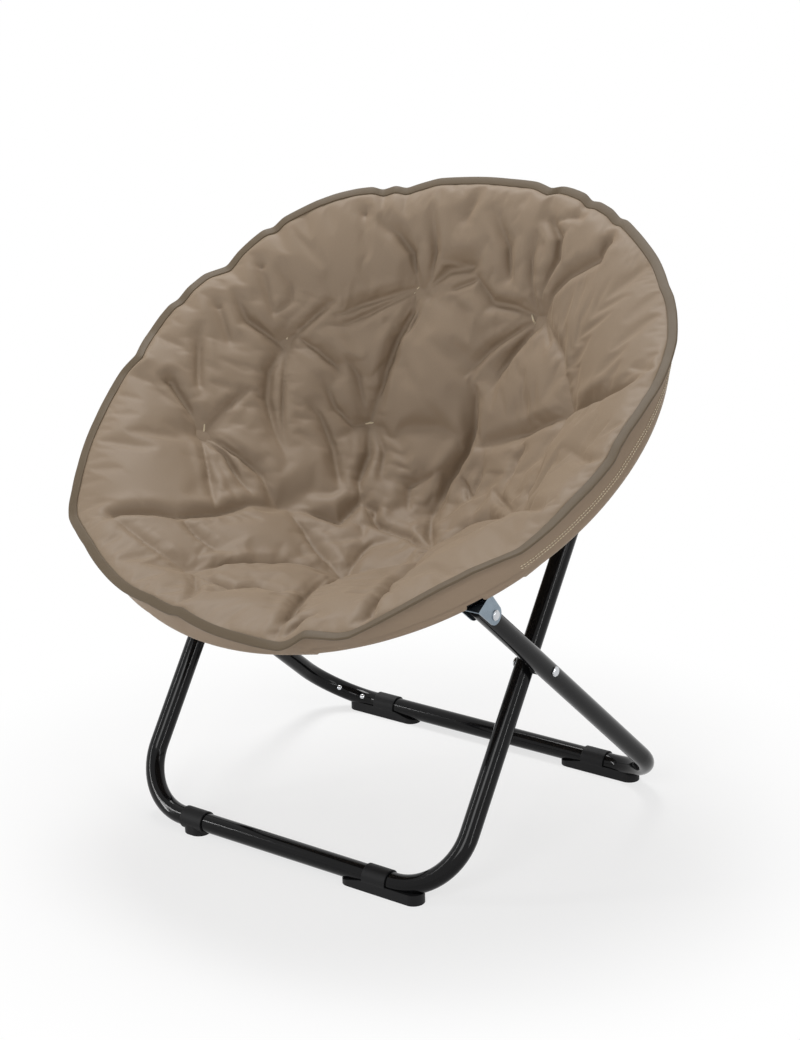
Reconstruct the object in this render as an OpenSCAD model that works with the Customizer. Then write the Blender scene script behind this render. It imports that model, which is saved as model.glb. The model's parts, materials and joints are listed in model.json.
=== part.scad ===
// Folding saucer chair: two crossed U-shaped leg frames carry a round rim in two half hoops,
// which are hinged to each other at both sides, with a padded bowl seat sewn round the rim.
// X runs across the chair, Y from front to back, Z up from the floor.
// The origin lies on the floor, in the middle of the chair's outline from front to back.

/* [Leg frames] */
// Outside diameter of the leg tubes
leg_d = 25; // [22:0.5:27]
// Wall of the leg tubes
leg_wall = 1.2; // [1:0.1:2]
// Radius of the bends above the foot bars, to the middle of the tube
leg_bend_r = 82; // [70:1:90]
// Half width of the front frame, to the middle of the tube
front_half_w = 254; // [244:1:264]
// Gap between a front leg and the rear leg that it crosses
cross_gap = 6.4; // [5.6:0.2:8]
// Distance between the front and the rear foot bar
foot_gap = 455; // [445:1:465]
// Lean of the rear legs from upright, in degrees
rear_lean = 49; // [48:0.5:50]
// Length of a rear leg from its foot bar to the pin of its bracket
rear_leg_l = 550; // [540:1:560]
// Length of a leg tube past its bracket's pin
leg_past_pin = 14; // [13:0.5:16]
// Thickness of the caps on the leg ends
cap_t = 2.5; // [2:0.1:3]
// Length of a cap's stub inside its tube
cap_stub_l = 8; // [6:0.5:9]

/* [Feet] */
// Thickness of the sole under a foot bar
sole_t = 4.5; // [3.5:0.1:6]
// Wall of the foot's collar round the bar
collar_wall = 2.2; // [1.6:0.1:2.6]
// Width of the collar along the bar
collar_w = 35; // [28:1:42]
// Distance of the front feet from the start of the bar's bends
front_foot_in = 22; // [18:1:37]
// Distance of the rear feet from the start of the bar's bends
rear_foot_in = 23.4; // [18:0.1:38]
// Reach of the shoe from the collar's middle towards the middle of the bar
shoe_in = 55; // [45:1:65]
// Reach of the shoe from the collar's middle towards the bend
shoe_out = 66; // [55:1:72]
// Width of the shoe
shoe_w = 28; // [26.5:0.5:31]
// Height of the shoe
shoe_h = 14; // [12:0.5:16]

/* [Leg pivots] */
// Diameter of the rivets where the legs cross
pivot_d = 8; // [6:0.5:10]
// Diameter of the spacers between crossing legs
spacer_d = 18; // [15:0.5:22]
// Height of a pivot rivet's head
pivot_head_h = 2.2; // [1.8:0.1:3]

/* [Rim] */
// Radius of the rim, to the middle of its tube
rim_r = 372.5; // [364:0.5:380]
// Outside diameter of the rim tube
rim_d = 22; // [20:0.5:23]
// Wall of the rim tube
rim_wall = 1.2; // [1:0.1:2]
// Tilt of the rim from level, in degrees
rim_tilt = 33.5; // [32.5:0.5:34.5]
// Thickness of the fabric sleeve round the rim tube
sleeve_t = 1.4; // [1:0.1:1.8]

/* [Rim hinges] */
// Place of the rim's hinges round the rim from its side, in degrees
hinge_angle = 24.5; // [22:0.5:26]
// Drop of the hinge pins below the middle of the rim tube
hinge_drop = 18; // [17.2:0.2:21]
// Diameter of the hinge pins
hinge_pin_d = 5; // [4:0.2:6]
// Radius of the hinge plates round their pin
hinge_eye_r = 5.5; // [5:0.1:6]
// Thickness of the front hoop's hinge plate
tongue_t = 3; // [2:0.2:4]
// Thickness of each of the back hoop's two hinge plates
fork_t = 2; // [1.5:0.1:2.6]
// Length of the hinge plates along the rim
hinge_plate_l = 22; // [18:1:26]

/* [Brackets] */
// Distance from the middle of the rim tube to a bracket's pin
bracket_reach = 41; // [40:0.5:43]
// Lean of the front brackets from the rim's normal, in degrees
bracket_lean = 8.6; // [6:0.2:11]
// Lean of the back brackets from the rim's normal, in degrees
back_bracket_lean = 41.5; // [38:0.5:45]
// Thickness of the bracket's sheet
bracket_t = 2; // [1.6:0.1:2.4]
// Width of a bracket where it meets the rim
bracket_w = 30; // [27:0.5:32]
// Radius of a bracket's ears round the pin
ear_r = 12; // [10:0.5:13]
// Clearance between an ear and the leg tube
ear_clear = 0.8; // [0.6:0.1:1]
// Diameter of the bracket pins
pin_d = 8; // [6:0.5:9]
// Diameter of the heads of the bracket pins
pin_head_d = 13; // [11:0.5:15]
// Height of the heads of the bracket pins
pin_head_h = 2.2; // [1.6:0.1:2.4]
// Diameter of the rivets that hold a bracket on the rim tube
base_rivet_d = 6; // [5:0.2:7]
// Height of the heads of those rivets
base_rivet_head_h = 2.4; // [1.6:0.1:2.8]

/* [Seat pad] */
// Distance of the bound edge out from the middle of the rim tube
edge_out = 25; // [22:0.5:28]
// Height of the bound edge above the middle of the rim tube
edge_lift = 42; // [36:0.5:48]
// Depth of the bowl's top below the middle of the rim tube
bowl_depth = 190; // [180:1:198]
// Thickness of the padding at the bottom of the bowl
pad_t = 50; // [44:0.5:56]
// Swell of the filling above its seams
crown_h = 12; // [8:0.5:15]
// Depth of the sewn tufts
tuft_depth = 20; // [12:1:22]
// Radius of the hollow round a tuft
tuft_r = 38; // [30:1:45]
// Distance of the outer ring of tufts in from the rim's radius
outer_tufts_in = 102.5; // [92:0.5:113]
// Distance between the two rings of tufts
tuft_rows_gap = 115; // [104:1:126]
// Number of tufts in the outer ring
outer_tufts = 9; // [7:1:11]
// Number of tufts in the inner ring
inner_tufts = 5; // [4:1:6]
// Width of the binding tape round the edge
binding_w = 12.5; // [10:0.5:14]
// Thickness of the bound edge
binding_t = 4; // [3:0.2:5]

/* [Hidden] */

$fn = 64;
// Facets of a ring as large as the rim
ring_facets = 240;
// Running clearance of a pin in its bore, on the radius
pin_fit = 0.05;
// Clearance of a fixed piece that slips on or in a tube, on the radius
slip_fit = 0.1;
// Clearance between faces that pass each other when the chair folds
pass_clear = 0.3;
// Length by which cutting shapes run past what they cut
overrun = 20;
left = -1;
right = 1;

leg_r = leg_d / 2;
bar_z = leg_r + sole_t;
rear_half_w = front_half_w + leg_d + cross_gap;

// Directions in the side view, as [y, z]: up the rim's slope, square to the rim, and up the
// rear legs
rim_up = [cos(rim_tilt), sin(rim_tilt)];
rim_normal = [-sin(rim_tilt), cos(rim_tilt)];
rear_up = [-sin(rear_lean), cos(rear_lean)];

// Side view points, measured from the front foot bar
front_bar = [0, bar_z];
rear_bar = [foot_gap, bar_z];
front_pin = rear_bar + rear_leg_l * rear_up;
front_bracket_v = -sqrt(rim_r * rim_r - rear_half_w * rear_half_w);
back_bracket_v = sqrt(rim_r * rim_r - front_half_w * front_half_w);
// Where the brackets' pins lie from the rim tube, along the slope and square to it
front_drop = bracket_reach * [sin(bracket_lean), -cos(bracket_lean)];
back_drop = bracket_reach * [-sin(back_bracket_lean), -cos(back_bracket_lean)];
rim_centre = front_pin - (front_bracket_v + front_drop[0]) * rim_up - front_drop[1] * rim_normal;
back_seat = rim_centre + back_bracket_v * rim_up;
// The front legs run from their foot bar to the back brackets' pins
front_leg = back_seat + back_drop[0] * rim_up + back_drop[1] * rim_normal - front_bar;
front_leg_l = norm(front_leg);
front_lean = atan2(front_leg[0], front_leg[1]);
// Places along the legs where they cross, by the sine rule on the triangle that they make
// with the floor
cross_front_l = foot_gap * cos(rear_lean) / sin(front_lean + rear_lean);
cross_rear_l = foot_gap * cos(front_lean) / sin(front_lean + rear_lean);
// Middles of the feet, from the middle of their bars
front_foot_x = front_half_w - leg_bend_r - front_foot_in;
rear_foot_x = rear_half_w - leg_bend_r - rear_foot_in;

// Rim, sleeve and bound edge
rim_tube_r = rim_d / 2;
sleeve_in_r = rim_tube_r + slip_fit;
sleeve_r = sleeve_in_r + sleeve_t;
binding_slope = 60;
seat_r = rim_r + edge_out;
edge_tip_r = seat_r - binding_t / 2 * cos(binding_slope);
edge_tip_w = edge_lift - binding_t / 2 * sin(binding_slope);

// The chair's outline from front to back, from the bound edge to the sleeve behind
front_reach = edge_tip_r * cos(rim_tilt) + edge_tip_w * sin(rim_tilt) + binding_t / 2;
back_reach = rim_r * cos(rim_tilt) + sleeve_r;
front_y = -(rim_centre[0] + (back_reach - front_reach) / 2);

// Rim hinges
hinge_v = rim_r * sin(hinge_angle);
hinge_x = rim_r * cos(hinge_angle);
hoop_gap = 1;
fabric_gap = 0.5;
fork_gap = tongue_t + pass_clear;
hinge_head_h = 1.6;
hinge_head_share = 1.5;
pivot_head_share = 1.6;
hinge_notch_clear = 1.5;
hinge_notch_w = fork_gap + 2 * (fork_t + hinge_head_h + hinge_notch_clear);
bracket_notch = 1.5;

// Brackets
bracket_in_w = leg_d + 2 * ear_clear;
bracket_out_w = bracket_in_w + 2 * bracket_t;
// An ear's flanks end this far inside its round end, so that they cross it
ear_bite = 0.05;
base_low = rim_tube_r + bracket_t;
rivet_inner_l = 5;

// Seat pad: a fan of points from the middle of the hinge line, on rings that follow the rim
// further out, and over the rim tube in steps of an arc
pad_rays = 36;
pad_clear = 1.5;
pad_seat_r = sleeve_r + pad_clear;
pad_inner_r = rim_r - pad_seat_r;
pad_gap = 0.3;
pad_edge_t = binding_t / 2;
// The pad's edge is cut upright, so its upper corner stays clear of the binding's sloping end
pad_edge_l = binding_w + pad_gap + pad_edge_t / 2 * sin(binding_slope);
pad_edge_r = seat_r - pad_edge_l * cos(binding_slope);
pad_edge_w = edge_lift - pad_edge_l * sin(binding_slope);
under_depth = bowl_depth + pad_t;
outer_tufts_r = rim_r - outer_tufts_in;
inner_tufts_r = outer_tufts_r - tuft_rows_gap;
fan_share = 1.3;
fan_r = hinge_v * fan_share;
fan_steps = 5;
bowl_steps = 5;
over_tube_angles = [150, 120, 90];
edge_steps = 2;
ring_radii = concat(
    [for (i = [1 : bowl_steps]) fan_r + (pad_inner_r - fan_r) * i / bowl_steps],
    [for (a = over_tube_angles) rim_r + pad_seat_r * cos(a)],
    [for (i = [1 : edge_steps]) rim_r + (pad_edge_r - rim_r) * i / edge_steps]);
pad_rings = fan_steps + len(ring_radii);
top_power = 1.75;
under_power = 1.5;
crown_share = 0.05;
outer_tufts_from = 32;
inner_tufts_from = 1;

// Frames of the pieces

module on_front_legs() {
    translate([0, front_y, bar_z])
        rotate([-front_lean, 0, 0])
            children();
}

module on_rear_legs() {
    translate([0, front_y + foot_gap, bar_z])
        rotate([rear_lean, 0, 0])
            children();
}

module on_rim() {
    translate([0, front_y + rim_centre[0], rim_centre[1]])
        rotate([rim_tilt, 0, 0])
            children();
}

// At a bracket's pin, with Y up the rim's slope and Z square to the rim
module at_front_bracket(side) {
    on_rim()
        translate([side * rear_half_w, front_bracket_v + front_drop[0], front_drop[1]])
            children();
}

module at_back_bracket(side) {
    on_rim()
        translate([side * front_half_w, back_bracket_v + back_drop[0], back_drop[1]])
            children();
}

module at_hinge(side) {
    on_rim()
        translate([side * hinge_x, hinge_v, -hinge_drop])
            children();
}

// Shapes that repeat

module across(r, l) {
    rotate([0, 90, 0])
        cylinder(r = r, h = l, center = true);
}

// A side view outline made a plate across X
module plate(t) {
    rotate([90, 0, 90])
        linear_extrude(t, center = true)
            children();
}

// A solid bar bent into a U, with its foot bar through the origin and its legs along Z
module bent_bar(half_w, leg_l, r) {
    across(r, 2 * (half_w - leg_bend_r));
    for (side = [left, right])
        translate([side * (half_w - leg_bend_r), 0, leg_bend_r])
            rotate([90, 0, 0]) {
                rotate([0, 0, side == right ? -90 : 180])
                    rotate_extrude(angle = 90)
                        translate([leg_bend_r, 0])
                            circle(r = r);
                translate([side * leg_bend_r, 0, 0])
                    rotate([-90, 0, 0])
                        cylinder(r = r, h = leg_l - leg_bend_r);
            }
}

module bent_tube(half_w, leg_l) {
    difference() {
        bent_bar(half_w, leg_l, leg_r);
        bent_bar(half_w, leg_l + overrun, leg_r - leg_wall);
    }
}

module leg_cap(leg_l) {
    cap_edge = cap_t / 3;
    translate([0, 0, leg_l]) {
        cylinder(r = leg_r, h = cap_t - cap_edge);
        translate([0, 0, cap_t - cap_edge])
            cylinder(r1 = leg_r, r2 = leg_r - cap_edge, h = cap_edge);
        translate([0, 0, -cap_stub_l])
            cylinder(r = leg_r - leg_wall - slip_fit, h = cap_stub_l);
    }
}

// A foot with its collar's middle at the origin, on a bar along X, and its outer end to +X
module foot_shape(toe_in, toe_out) {
    toe_t = sole_t + collar_wall / 2;
    across(leg_r + collar_wall, collar_w);
    intersection() {
        translate([0, 0, -bar_z])
            linear_extrude(shoe_h)
                union() {
                    translate([-toe_in + shoe_w / 2, -shoe_w / 2])
                        square([toe_in + toe_out - shoe_w, shoe_w]);
                    for (x = [-toe_in + shoe_w / 2, toe_out - shoe_w / 2])
                        translate([x, 0])
                            circle(d = shoe_w);
                }
        rotate([90, 0, 0])
            linear_extrude(2 * shoe_w, center = true)
                polygon([
                    [-toe_in, -bar_z],
                    [toe_out, -bar_z],
                    [toe_out, -bar_z + shoe_h],
                    [-collar_w / 2, -bar_z + shoe_h],
                    [-toe_in, -bar_z + toe_t]
                ]);
    }
}

module foot(bar_y, x, side, toe_in, toe_out) {
    translate([side * x, bar_y, bar_z])
        mirror([side == right ? 0 : 1, 0, 0])
            foot_shape(toe_in, toe_out);
}

// The whole rim as a solid ring of any round section, or as a hollow one
module rim_ring(r) {
    rotate_extrude($fn = ring_facets)
        translate([rim_r, 0])
            circle(r = r);
}

module hollow_ring(r_out, r_in) {
    difference() {
        rim_ring(r_out);
        rim_ring(r_in);
    }
}

// Keeps what lies on one side of the hinge line, short of it by half a gap
module half(side, gap) {
    span = 2 * (seat_r + overrun);
    intersection() {
        children();
        translate([-span / 2, side == right ? hinge_v + gap / 2 : hinge_v - gap / 2 - span,
            -span / 2])
            cube([span, span, span]);
    }
}

// Where a line from point q touches a circle round the origin
function touch(q, r, turn) =
    let (a = atan2(q[1], q[0]) + turn * acos(r / norm(q)))
    r * [cos(a), sin(a)];

// Where a bracket's base plate starts: under the rim tube, and past the corner of the leg's end
// as the leg turns round the pin
function base_start(drop) =
    let (corner = norm([leg_past_pin + cap_t, leg_r]), low = -drop[1] - base_low,
        clear = corner > low ? sqrt(corner * corner - low * low) + pass_clear : -drop[0])
    -drop[0] < 0 ? -drop[0] - bracket_w / 2 : max(-drop[0] - bracket_w / 2, clear);

// A bracket folded from sheet, about its pin, with its base plate under the rim tube
module bracket(drop) {
    base_z = -drop[1] - rim_tube_r;
    low = [base_start(drop), base_z];
    high = [-drop[0] + bracket_w / 2, base_z];
    difference() {
        union() {
            translate([-bracket_out_w / 2, low[0], base_z - bracket_t])
                cube([bracket_out_w, high[0] - low[0], bracket_t]);
            for (side = [left, right])
                translate([side * (bracket_in_w + bracket_t) / 2, 0, 0])
                    plate(bracket_t) {
                        circle(r = ear_r);
                        polygon([high, low, touch(low, ear_r - ear_bite, right),
                            touch(high, ear_r - ear_bite, left)]);
                    }
        }
        across(pin_d / 2 + pin_fit, bracket_out_w + overrun);
        translate([0, -drop[0], base_z])
            cylinder(r = base_rivet_d / 2 + pin_fit, h = overrun, center = true);
    }
}

// A low round head, with its flat face at the origin and its crown to +Z
module rivet_head(d, h) {
    edge = h / 2;
    cylinder(d = d, h = edge);
    translate([0, 0, edge])
        cylinder(d1 = d, d2 = d - 2 * edge, h = h - edge);
}

module bracket_pin() {
    across(pin_d / 2, bracket_out_w);
    for (side = [left, right])
        translate([side * bracket_out_w / 2, 0, 0])
            rotate([0, side * 90, 0])
                rivet_head(pin_head_d, pin_head_h);
}

// Two short studs in a bracket's ears, which end level with the ears' inner faces
module bracket_studs() {
    for (side = [left, right])
        translate([side * bracket_in_w / 2, 0, 0])
            rotate([0, side * 90, 0]) {
                cylinder(d = pin_d, h = bracket_t);
                translate([0, 0, bracket_t])
                    rivet_head(pin_head_d, pin_head_h);
            }
}

// A rivet from a bracket's base plate up into the rim tube
module base_rivet(drop) {
    base_z = -drop[1] - base_low;
    translate([0, -drop[0], base_z]) {
        cylinder(d = base_rivet_d, h = bracket_t + rim_wall + rivet_inner_l);
        rotate([180, 0, 0])
            rivet_head(2 * base_rivet_d, base_rivet_head_h);
    }
}

// A hoop's hinge plate round its pin, up to the tube and to one side along the rim
module hinge_outline(way) {
    mirror([way == right ? 0 : 1, 0]) {
        circle(r = hinge_eye_r);
        polygon([
            [0, -hinge_eye_r],
            [hinge_plate_l / 2, -hinge_eye_r],
            [hinge_plate_l, hinge_drop - rim_tube_r],
            [hinge_plate_l, hinge_drop - rim_tube_r / 2],
            [hoop_gap / 2, hinge_drop - rim_tube_r / 2],
            [hoop_gap / 2, hinge_eye_r],
            [0, hinge_eye_r]
        ]);
    }
}

// Cuts the rim tube's own room out of a hinge plate
module beside_rim_tube() {
    difference() {
        children();
        on_rim()
            rim_ring(rim_tube_r + pin_fit);
    }
}

// The fabric round a hoop's tube, open where the brackets and the hinge plates sit
module sleeve(side, gap) {
    half(side, gap)
        hollow_ring(sleeve_r, sleeve_in_r);
}

module hinge_notches() {
    for (side = [left, right])
        translate([side * hinge_x - hinge_notch_w / 2, hinge_v - hinge_plate_l - bracket_notch,
            -overrun])
            cube([hinge_notch_w, 2 * (hinge_plate_l + bracket_notch), overrun]);
}

module bracket_notches(half_w, v) {
    notch_w = bracket_out_w + 2 * bracket_notch;
    notch_l = bracket_w + 2 * bracket_notch;
    for (side = [left, right])
        translate([side * half_w - notch_w / 2, v - notch_l / 2, -overrun])
            cube([notch_w, notch_l, overrun]);
}

// Seat pad

function sum(list) = list * [for (i = list) 1];

tuft_places = concat(
    [for (i = [1 : outer_tufts])
        let (a = outer_tufts_from + 360 * i / outer_tufts)
        outer_tufts_r * [cos(a), sin(a)]],
    [for (i = [1 : inner_tufts])
        let (a = inner_tufts_from + 360 * i / inner_tufts)
        inner_tufts_r * [cos(a), sin(a)]]);

function tuft_hollow(p) =
    tuft_depth * sum([for (t = tuft_places) exp(-pow(norm(p - t) / tuft_r, 2))]);

function pad_top(p) =
    let (q = max(0, 1 - pow(norm(p) / pad_edge_r, 2)))
    pad_edge_w + pad_edge_t / 2 + crown_h * (1 - exp(-q / crown_share))
    - (bowl_depth + pad_edge_w + crown_h) * pow(q, top_power) - tuft_hollow(p);

function pad_under(p) =
    let (r = norm(p))
    r < pad_inner_r ? -under_depth * pow(1 - pow(r / pad_inner_r, 2), under_power)
    : r < rim_r ? sqrt(max(0, pow(pad_seat_r, 2) - pow(r - rim_r, 2)))
    : pad_seat_r + (pad_edge_w - pad_edge_t / 2 - pad_seat_r) * (r - rim_r) / (pad_edge_r - rim_r);

// Distance along a ray at angle a from [0, v] to a circle of radius r round the origin
function ray_l(v, a, r) =
    let (b = v * sin(a))
    sqrt(b * b - v * v + r * r) - b;

function pad_point(v, a, ring) =
    let (l = ring <= fan_steps ? ray_l(v, a, fan_r) * ring / fan_steps
        : ray_l(v, a, ring_radii[ring - fan_steps - 1]))
    [l * cos(a), v + l * sin(a)];

module pad_half(side) {
    v = hinge_v + side * fabric_gap / 2;
    from = side == right ? 0 : 180;
    flat = concat([[0, v]],
        [for (ring = [1 : pad_rings]) for (i = [0 : pad_rays])
            pad_point(v, from + 180 * i / pad_rays, ring)]);
    under = len(flat);
    function at(ring, i) = ring == 0 ? 0 : 1 + (ring - 1) * (pad_rays + 1) + i;
    points = concat([for (p = flat) [p[0], p[1], pad_top(p)]],
        [for (p = flat) [p[0], p[1], pad_under(p)]]);
    upper = [for (i = [0 : pad_rays - 1]) for (ring = [0 : pad_rings - 1])
        each ring == 0 ? [[0, at(1, i + 1), at(1, i)]]
            : [[at(ring, i), at(ring, i + 1), at(ring + 1, i + 1)],
                [at(ring, i), at(ring + 1, i + 1), at(ring + 1, i)]]];
    lower = [for (f = upper) [f[2] + under, f[1] + under, f[0] + under]];
    edge = [for (i = [0 : pad_rays - 1])
        each [[at(pad_rings, i), at(pad_rings, i + 1), at(pad_rings, i + 1) + under],
            [at(pad_rings, i), at(pad_rings, i + 1) + under, at(pad_rings, i) + under]]];
    first = [for (ring = [0 : pad_rings - 1])
        each [[at(ring, 0), at(ring + 1, 0), at(ring + 1, 0) + under],
            [at(ring, 0), at(ring + 1, 0) + under, at(ring, 0) + under]]];
    last = [for (ring = [0 : pad_rings - 1])
        each [[at(ring + 1, pad_rays), at(ring, pad_rays), at(ring, pad_rays) + under],
            [at(ring + 1, pad_rays), at(ring, pad_rays) + under,
                at(ring + 1, pad_rays) + under]]];
    on_rim()
        polyhedron(points, concat(upper, lower, edge, first, last));
}

// The tape folded over the pad's edge
module binding(side) {
    long = binding_w / 2;
    high = binding_t / 2;
    fold = binding_t / 3;
    on_rim()
        half(side, fabric_gap)
            rotate_extrude($fn = ring_facets)
                translate([seat_r - long * cos(binding_slope), edge_lift - long * sin(binding_slope)])
                    rotate(binding_slope)
                        polygon([
                            [long, fold - high],
                            [long, high - fold],
                            [long - fold, high],
                            [fold - long, high],
                            [-long, high - fold],
                            [-long, fold - high],
                            [fold - long, -high],
                            [long - fold, -high]
                        ]);
}

// Rear legs

module rear_leg_frame() {
    color("#1b1b1d")
        on_rear_legs()
            difference() {
                bent_tube(rear_half_w, rear_leg_l + leg_past_pin);
                for (z = [cross_rear_l, rear_leg_l])
                    translate([0, 0, z])
                        for (side = [left, right])
                            translate([side * rear_half_w, 0, 0])
                                across(pin_fit + (z == rear_leg_l ? pin_d : pivot_d) / 2,
                                    leg_d + overrun);
            }
}

module rear_foot(side) {
    color("#141416")
        difference() {
            foot(front_y + foot_gap, rear_foot_x, side, shoe_in, shoe_out);
            on_rear_legs()
                bent_bar(rear_half_w, rear_leg_l, leg_r + slip_fit);
        }
}

module rear_leg_cap(side) {
    color("#101011")
        on_rear_legs()
            translate([side * rear_half_w, 0, 0])
                leg_cap(rear_leg_l + leg_past_pin);
}

// Front legs

module front_leg_frame() {
    color("#1b1b1d")
        on_front_legs()
            difference() {
                bent_tube(front_half_w, front_leg_l + leg_past_pin);
                for (side = [left, right])
                    translate([side * front_half_w, 0, cross_front_l])
                        across(pivot_d / 2 + pin_fit, leg_d + overrun / 2);
            }
}

// The left front foot has no long shoe
module front_foot(side) {
    color("#141416")
        difference() {
            foot(front_y, front_foot_x, side, side == right ? shoe_in : collar_w / 2,
                side == right ? shoe_out : collar_w / 2);
            on_front_legs()
                bent_bar(front_half_w, front_leg_l, leg_r + slip_fit);
        }
}

module front_leg_cap(side) {
    color("#101011")
        on_front_legs()
            translate([side * front_half_w, 0, 0])
                leg_cap(front_leg_l + leg_past_pin);
}

// The rivet is fixed in the front leg and turns in the rear leg
module pivot_rivet(side) {
    inner_x = front_half_w - leg_r;
    outer_x = rear_half_w + leg_r + pass_clear;
    color("#b9bdc2")
        on_front_legs()
            translate([side * inner_x, 0, cross_front_l])
                rotate([0, side * 90, 0]) {
                    cylinder(d = pivot_d, h = outer_x - inner_x);
                    translate([0, 0, outer_x - inner_x])
                        rivet_head(pivot_head_share * pivot_d, pivot_head_h);
                    rotate([180, 0, 0])
                        rivet_head(pivot_head_share * pivot_d, pivot_head_h);
                }
}

module pivot_spacer(side) {
    color("#1e1e20")
        on_front_legs()
            translate([side * (front_half_w + leg_r), 0, cross_front_l])
                rotate([0, side * 90, 0])
                    difference() {
                        cylinder(d = spacer_d, h = cross_gap - pass_clear);
                        cylinder(r = pivot_d / 2 + pin_fit, h = overrun, center = true);
                    }
}

// Front hoop of the rim

module front_rim_tube() {
    color("#1b1b1d")
        on_rim()
            difference() {
                half(left, hoop_gap)
                    hollow_ring(rim_tube_r, rim_tube_r - rim_wall);
                for (side = [left, right])
                    translate([side * rear_half_w, front_bracket_v, -rim_tube_r])
                        cylinder(r = base_rivet_d / 2 + pin_fit, h = rim_tube_r, center = true);
            }
}

module front_bracket(side) {
    color("#8f98a3")
        at_front_bracket(side)
            bracket(front_drop);
}

module front_bracket_pin(side) {
    color("#b9bdc2")
        at_front_bracket(side)
            bracket_pin();
}

module front_bracket_rivets() {
    color("#b9bdc2")
        for (side = [left, right])
            at_front_bracket(side)
                base_rivet(front_drop);
}

module front_hinge_plate(side) {
    color("#8f98a3")
        beside_rim_tube()
            at_hinge(side)
                difference() {
                    plate(tongue_t)
                        hinge_outline(left);
                    across(hinge_pin_d / 2 + pin_fit, overrun);
                }
}

module front_sleeve() {
    color("#7c6c5c")
        on_rim()
            difference() {
                sleeve(left, fabric_gap);
                hinge_notches();
                bracket_notches(rear_half_w, front_bracket_v);
            }
}

module seat_pad_front() {
    color("#94836f")
        pad_half(left);
}

module binding_front() {
    color("#665847")
        binding(left);
}

// Back hoop of the rim

module back_rim_tube() {
    color("#1b1b1d")
        on_rim()
            difference() {
                half(right, hoop_gap)
                    hollow_ring(rim_tube_r, rim_tube_r - rim_wall);
                for (side = [left, right])
                    translate([side * front_half_w, back_bracket_v, -rim_tube_r])
                        cylinder(r = base_rivet_d / 2 + pin_fit, h = rim_tube_r, center = true);
            }
}

module back_bracket(side) {
    color("#8f98a3")
        at_back_bracket(side)
            bracket(back_drop);
}

module back_bracket_studs(side) {
    color("#b9bdc2")
        at_back_bracket(side)
            bracket_studs();
}

module back_bracket_rivets() {
    color("#b9bdc2")
        for (side = [left, right])
            at_back_bracket(side)
                base_rivet(back_drop);
}

module back_hinge_fork(side) {
    color("#8f98a3")
        beside_rim_tube()
            at_hinge(side)
                for (end = [left, right])
                    translate([end * (fork_gap + fork_t) / 2, 0, 0])
                        difference() {
                            plate(fork_t)
                                hinge_outline(right);
                            across(hinge_pin_d / 2 + pin_fit, overrun);
                        }
}

// The pin is fixed in the back hoop's plates and turns in the front hoop's
module rim_hinge_pin(side) {
    pin_l = fork_gap + 2 * fork_t;
    color("#b9bdc2")
        at_hinge(side) {
            across(hinge_pin_d / 2, pin_l);
            for (end = [left, right])
                translate([end * pin_l / 2, 0, 0])
                    rotate([0, end * 90, 0])
                        rivet_head(hinge_head_share * hinge_pin_d, hinge_head_h);
        }
}

module back_sleeve() {
    color("#7c6c5c")
        on_rim()
            difference() {
                sleeve(right, fabric_gap);
                hinge_notches();
                bracket_notches(front_half_w, back_bracket_v);
            }
}

module seat_pad_back() {
    color("#94836f")
        pad_half(right);
}

module binding_back() {
    color("#665847")
        binding(right);
}

rear_leg_frame();
rear_foot(left);  // rear_foot_left
rear_foot(right);  // rear_foot_right
rear_leg_cap(left);  // rear_leg_cap_left
rear_leg_cap(right);  // rear_leg_cap_right
front_leg_frame();
front_foot(left);  // front_foot_left
front_foot(right);  // front_foot_right
front_leg_cap(left);  // front_leg_cap_left
front_leg_cap(right);  // front_leg_cap_right
pivot_rivet(left);  // pivot_rivet_left
pivot_rivet(right);  // pivot_rivet_right
pivot_spacer(left);  // pivot_spacer_left
pivot_spacer(right);  // pivot_spacer_right
front_rim_tube();
front_bracket(left);  // front_bracket_left
front_bracket(right);  // front_bracket_right
front_bracket_pin(left);  // front_bracket_pin_left
front_bracket_pin(right);  // front_bracket_pin_right
front_bracket_rivets();
front_hinge_plate(left);  // front_hinge_plate_left
front_hinge_plate(right);  // front_hinge_plate_right
front_sleeve();
seat_pad_front();
binding_front();
back_rim_tube();
back_bracket(left);  // back_bracket_left
back_bracket(right);  // back_bracket_right
back_bracket_studs(left);  // back_bracket_studs_left
back_bracket_studs(right);  // back_bracket_studs_right
back_bracket_rivets();
back_hinge_fork(left);  // back_hinge_fork_left
back_hinge_fork(right);  // back_hinge_fork_right
rim_hinge_pin(left);  // rim_hinge_pin_left
rim_hinge_pin(right);  // rim_hinge_pin_right
back_sleeve();
seat_pad_back();
binding_back();
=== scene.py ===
import json
import math

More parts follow.
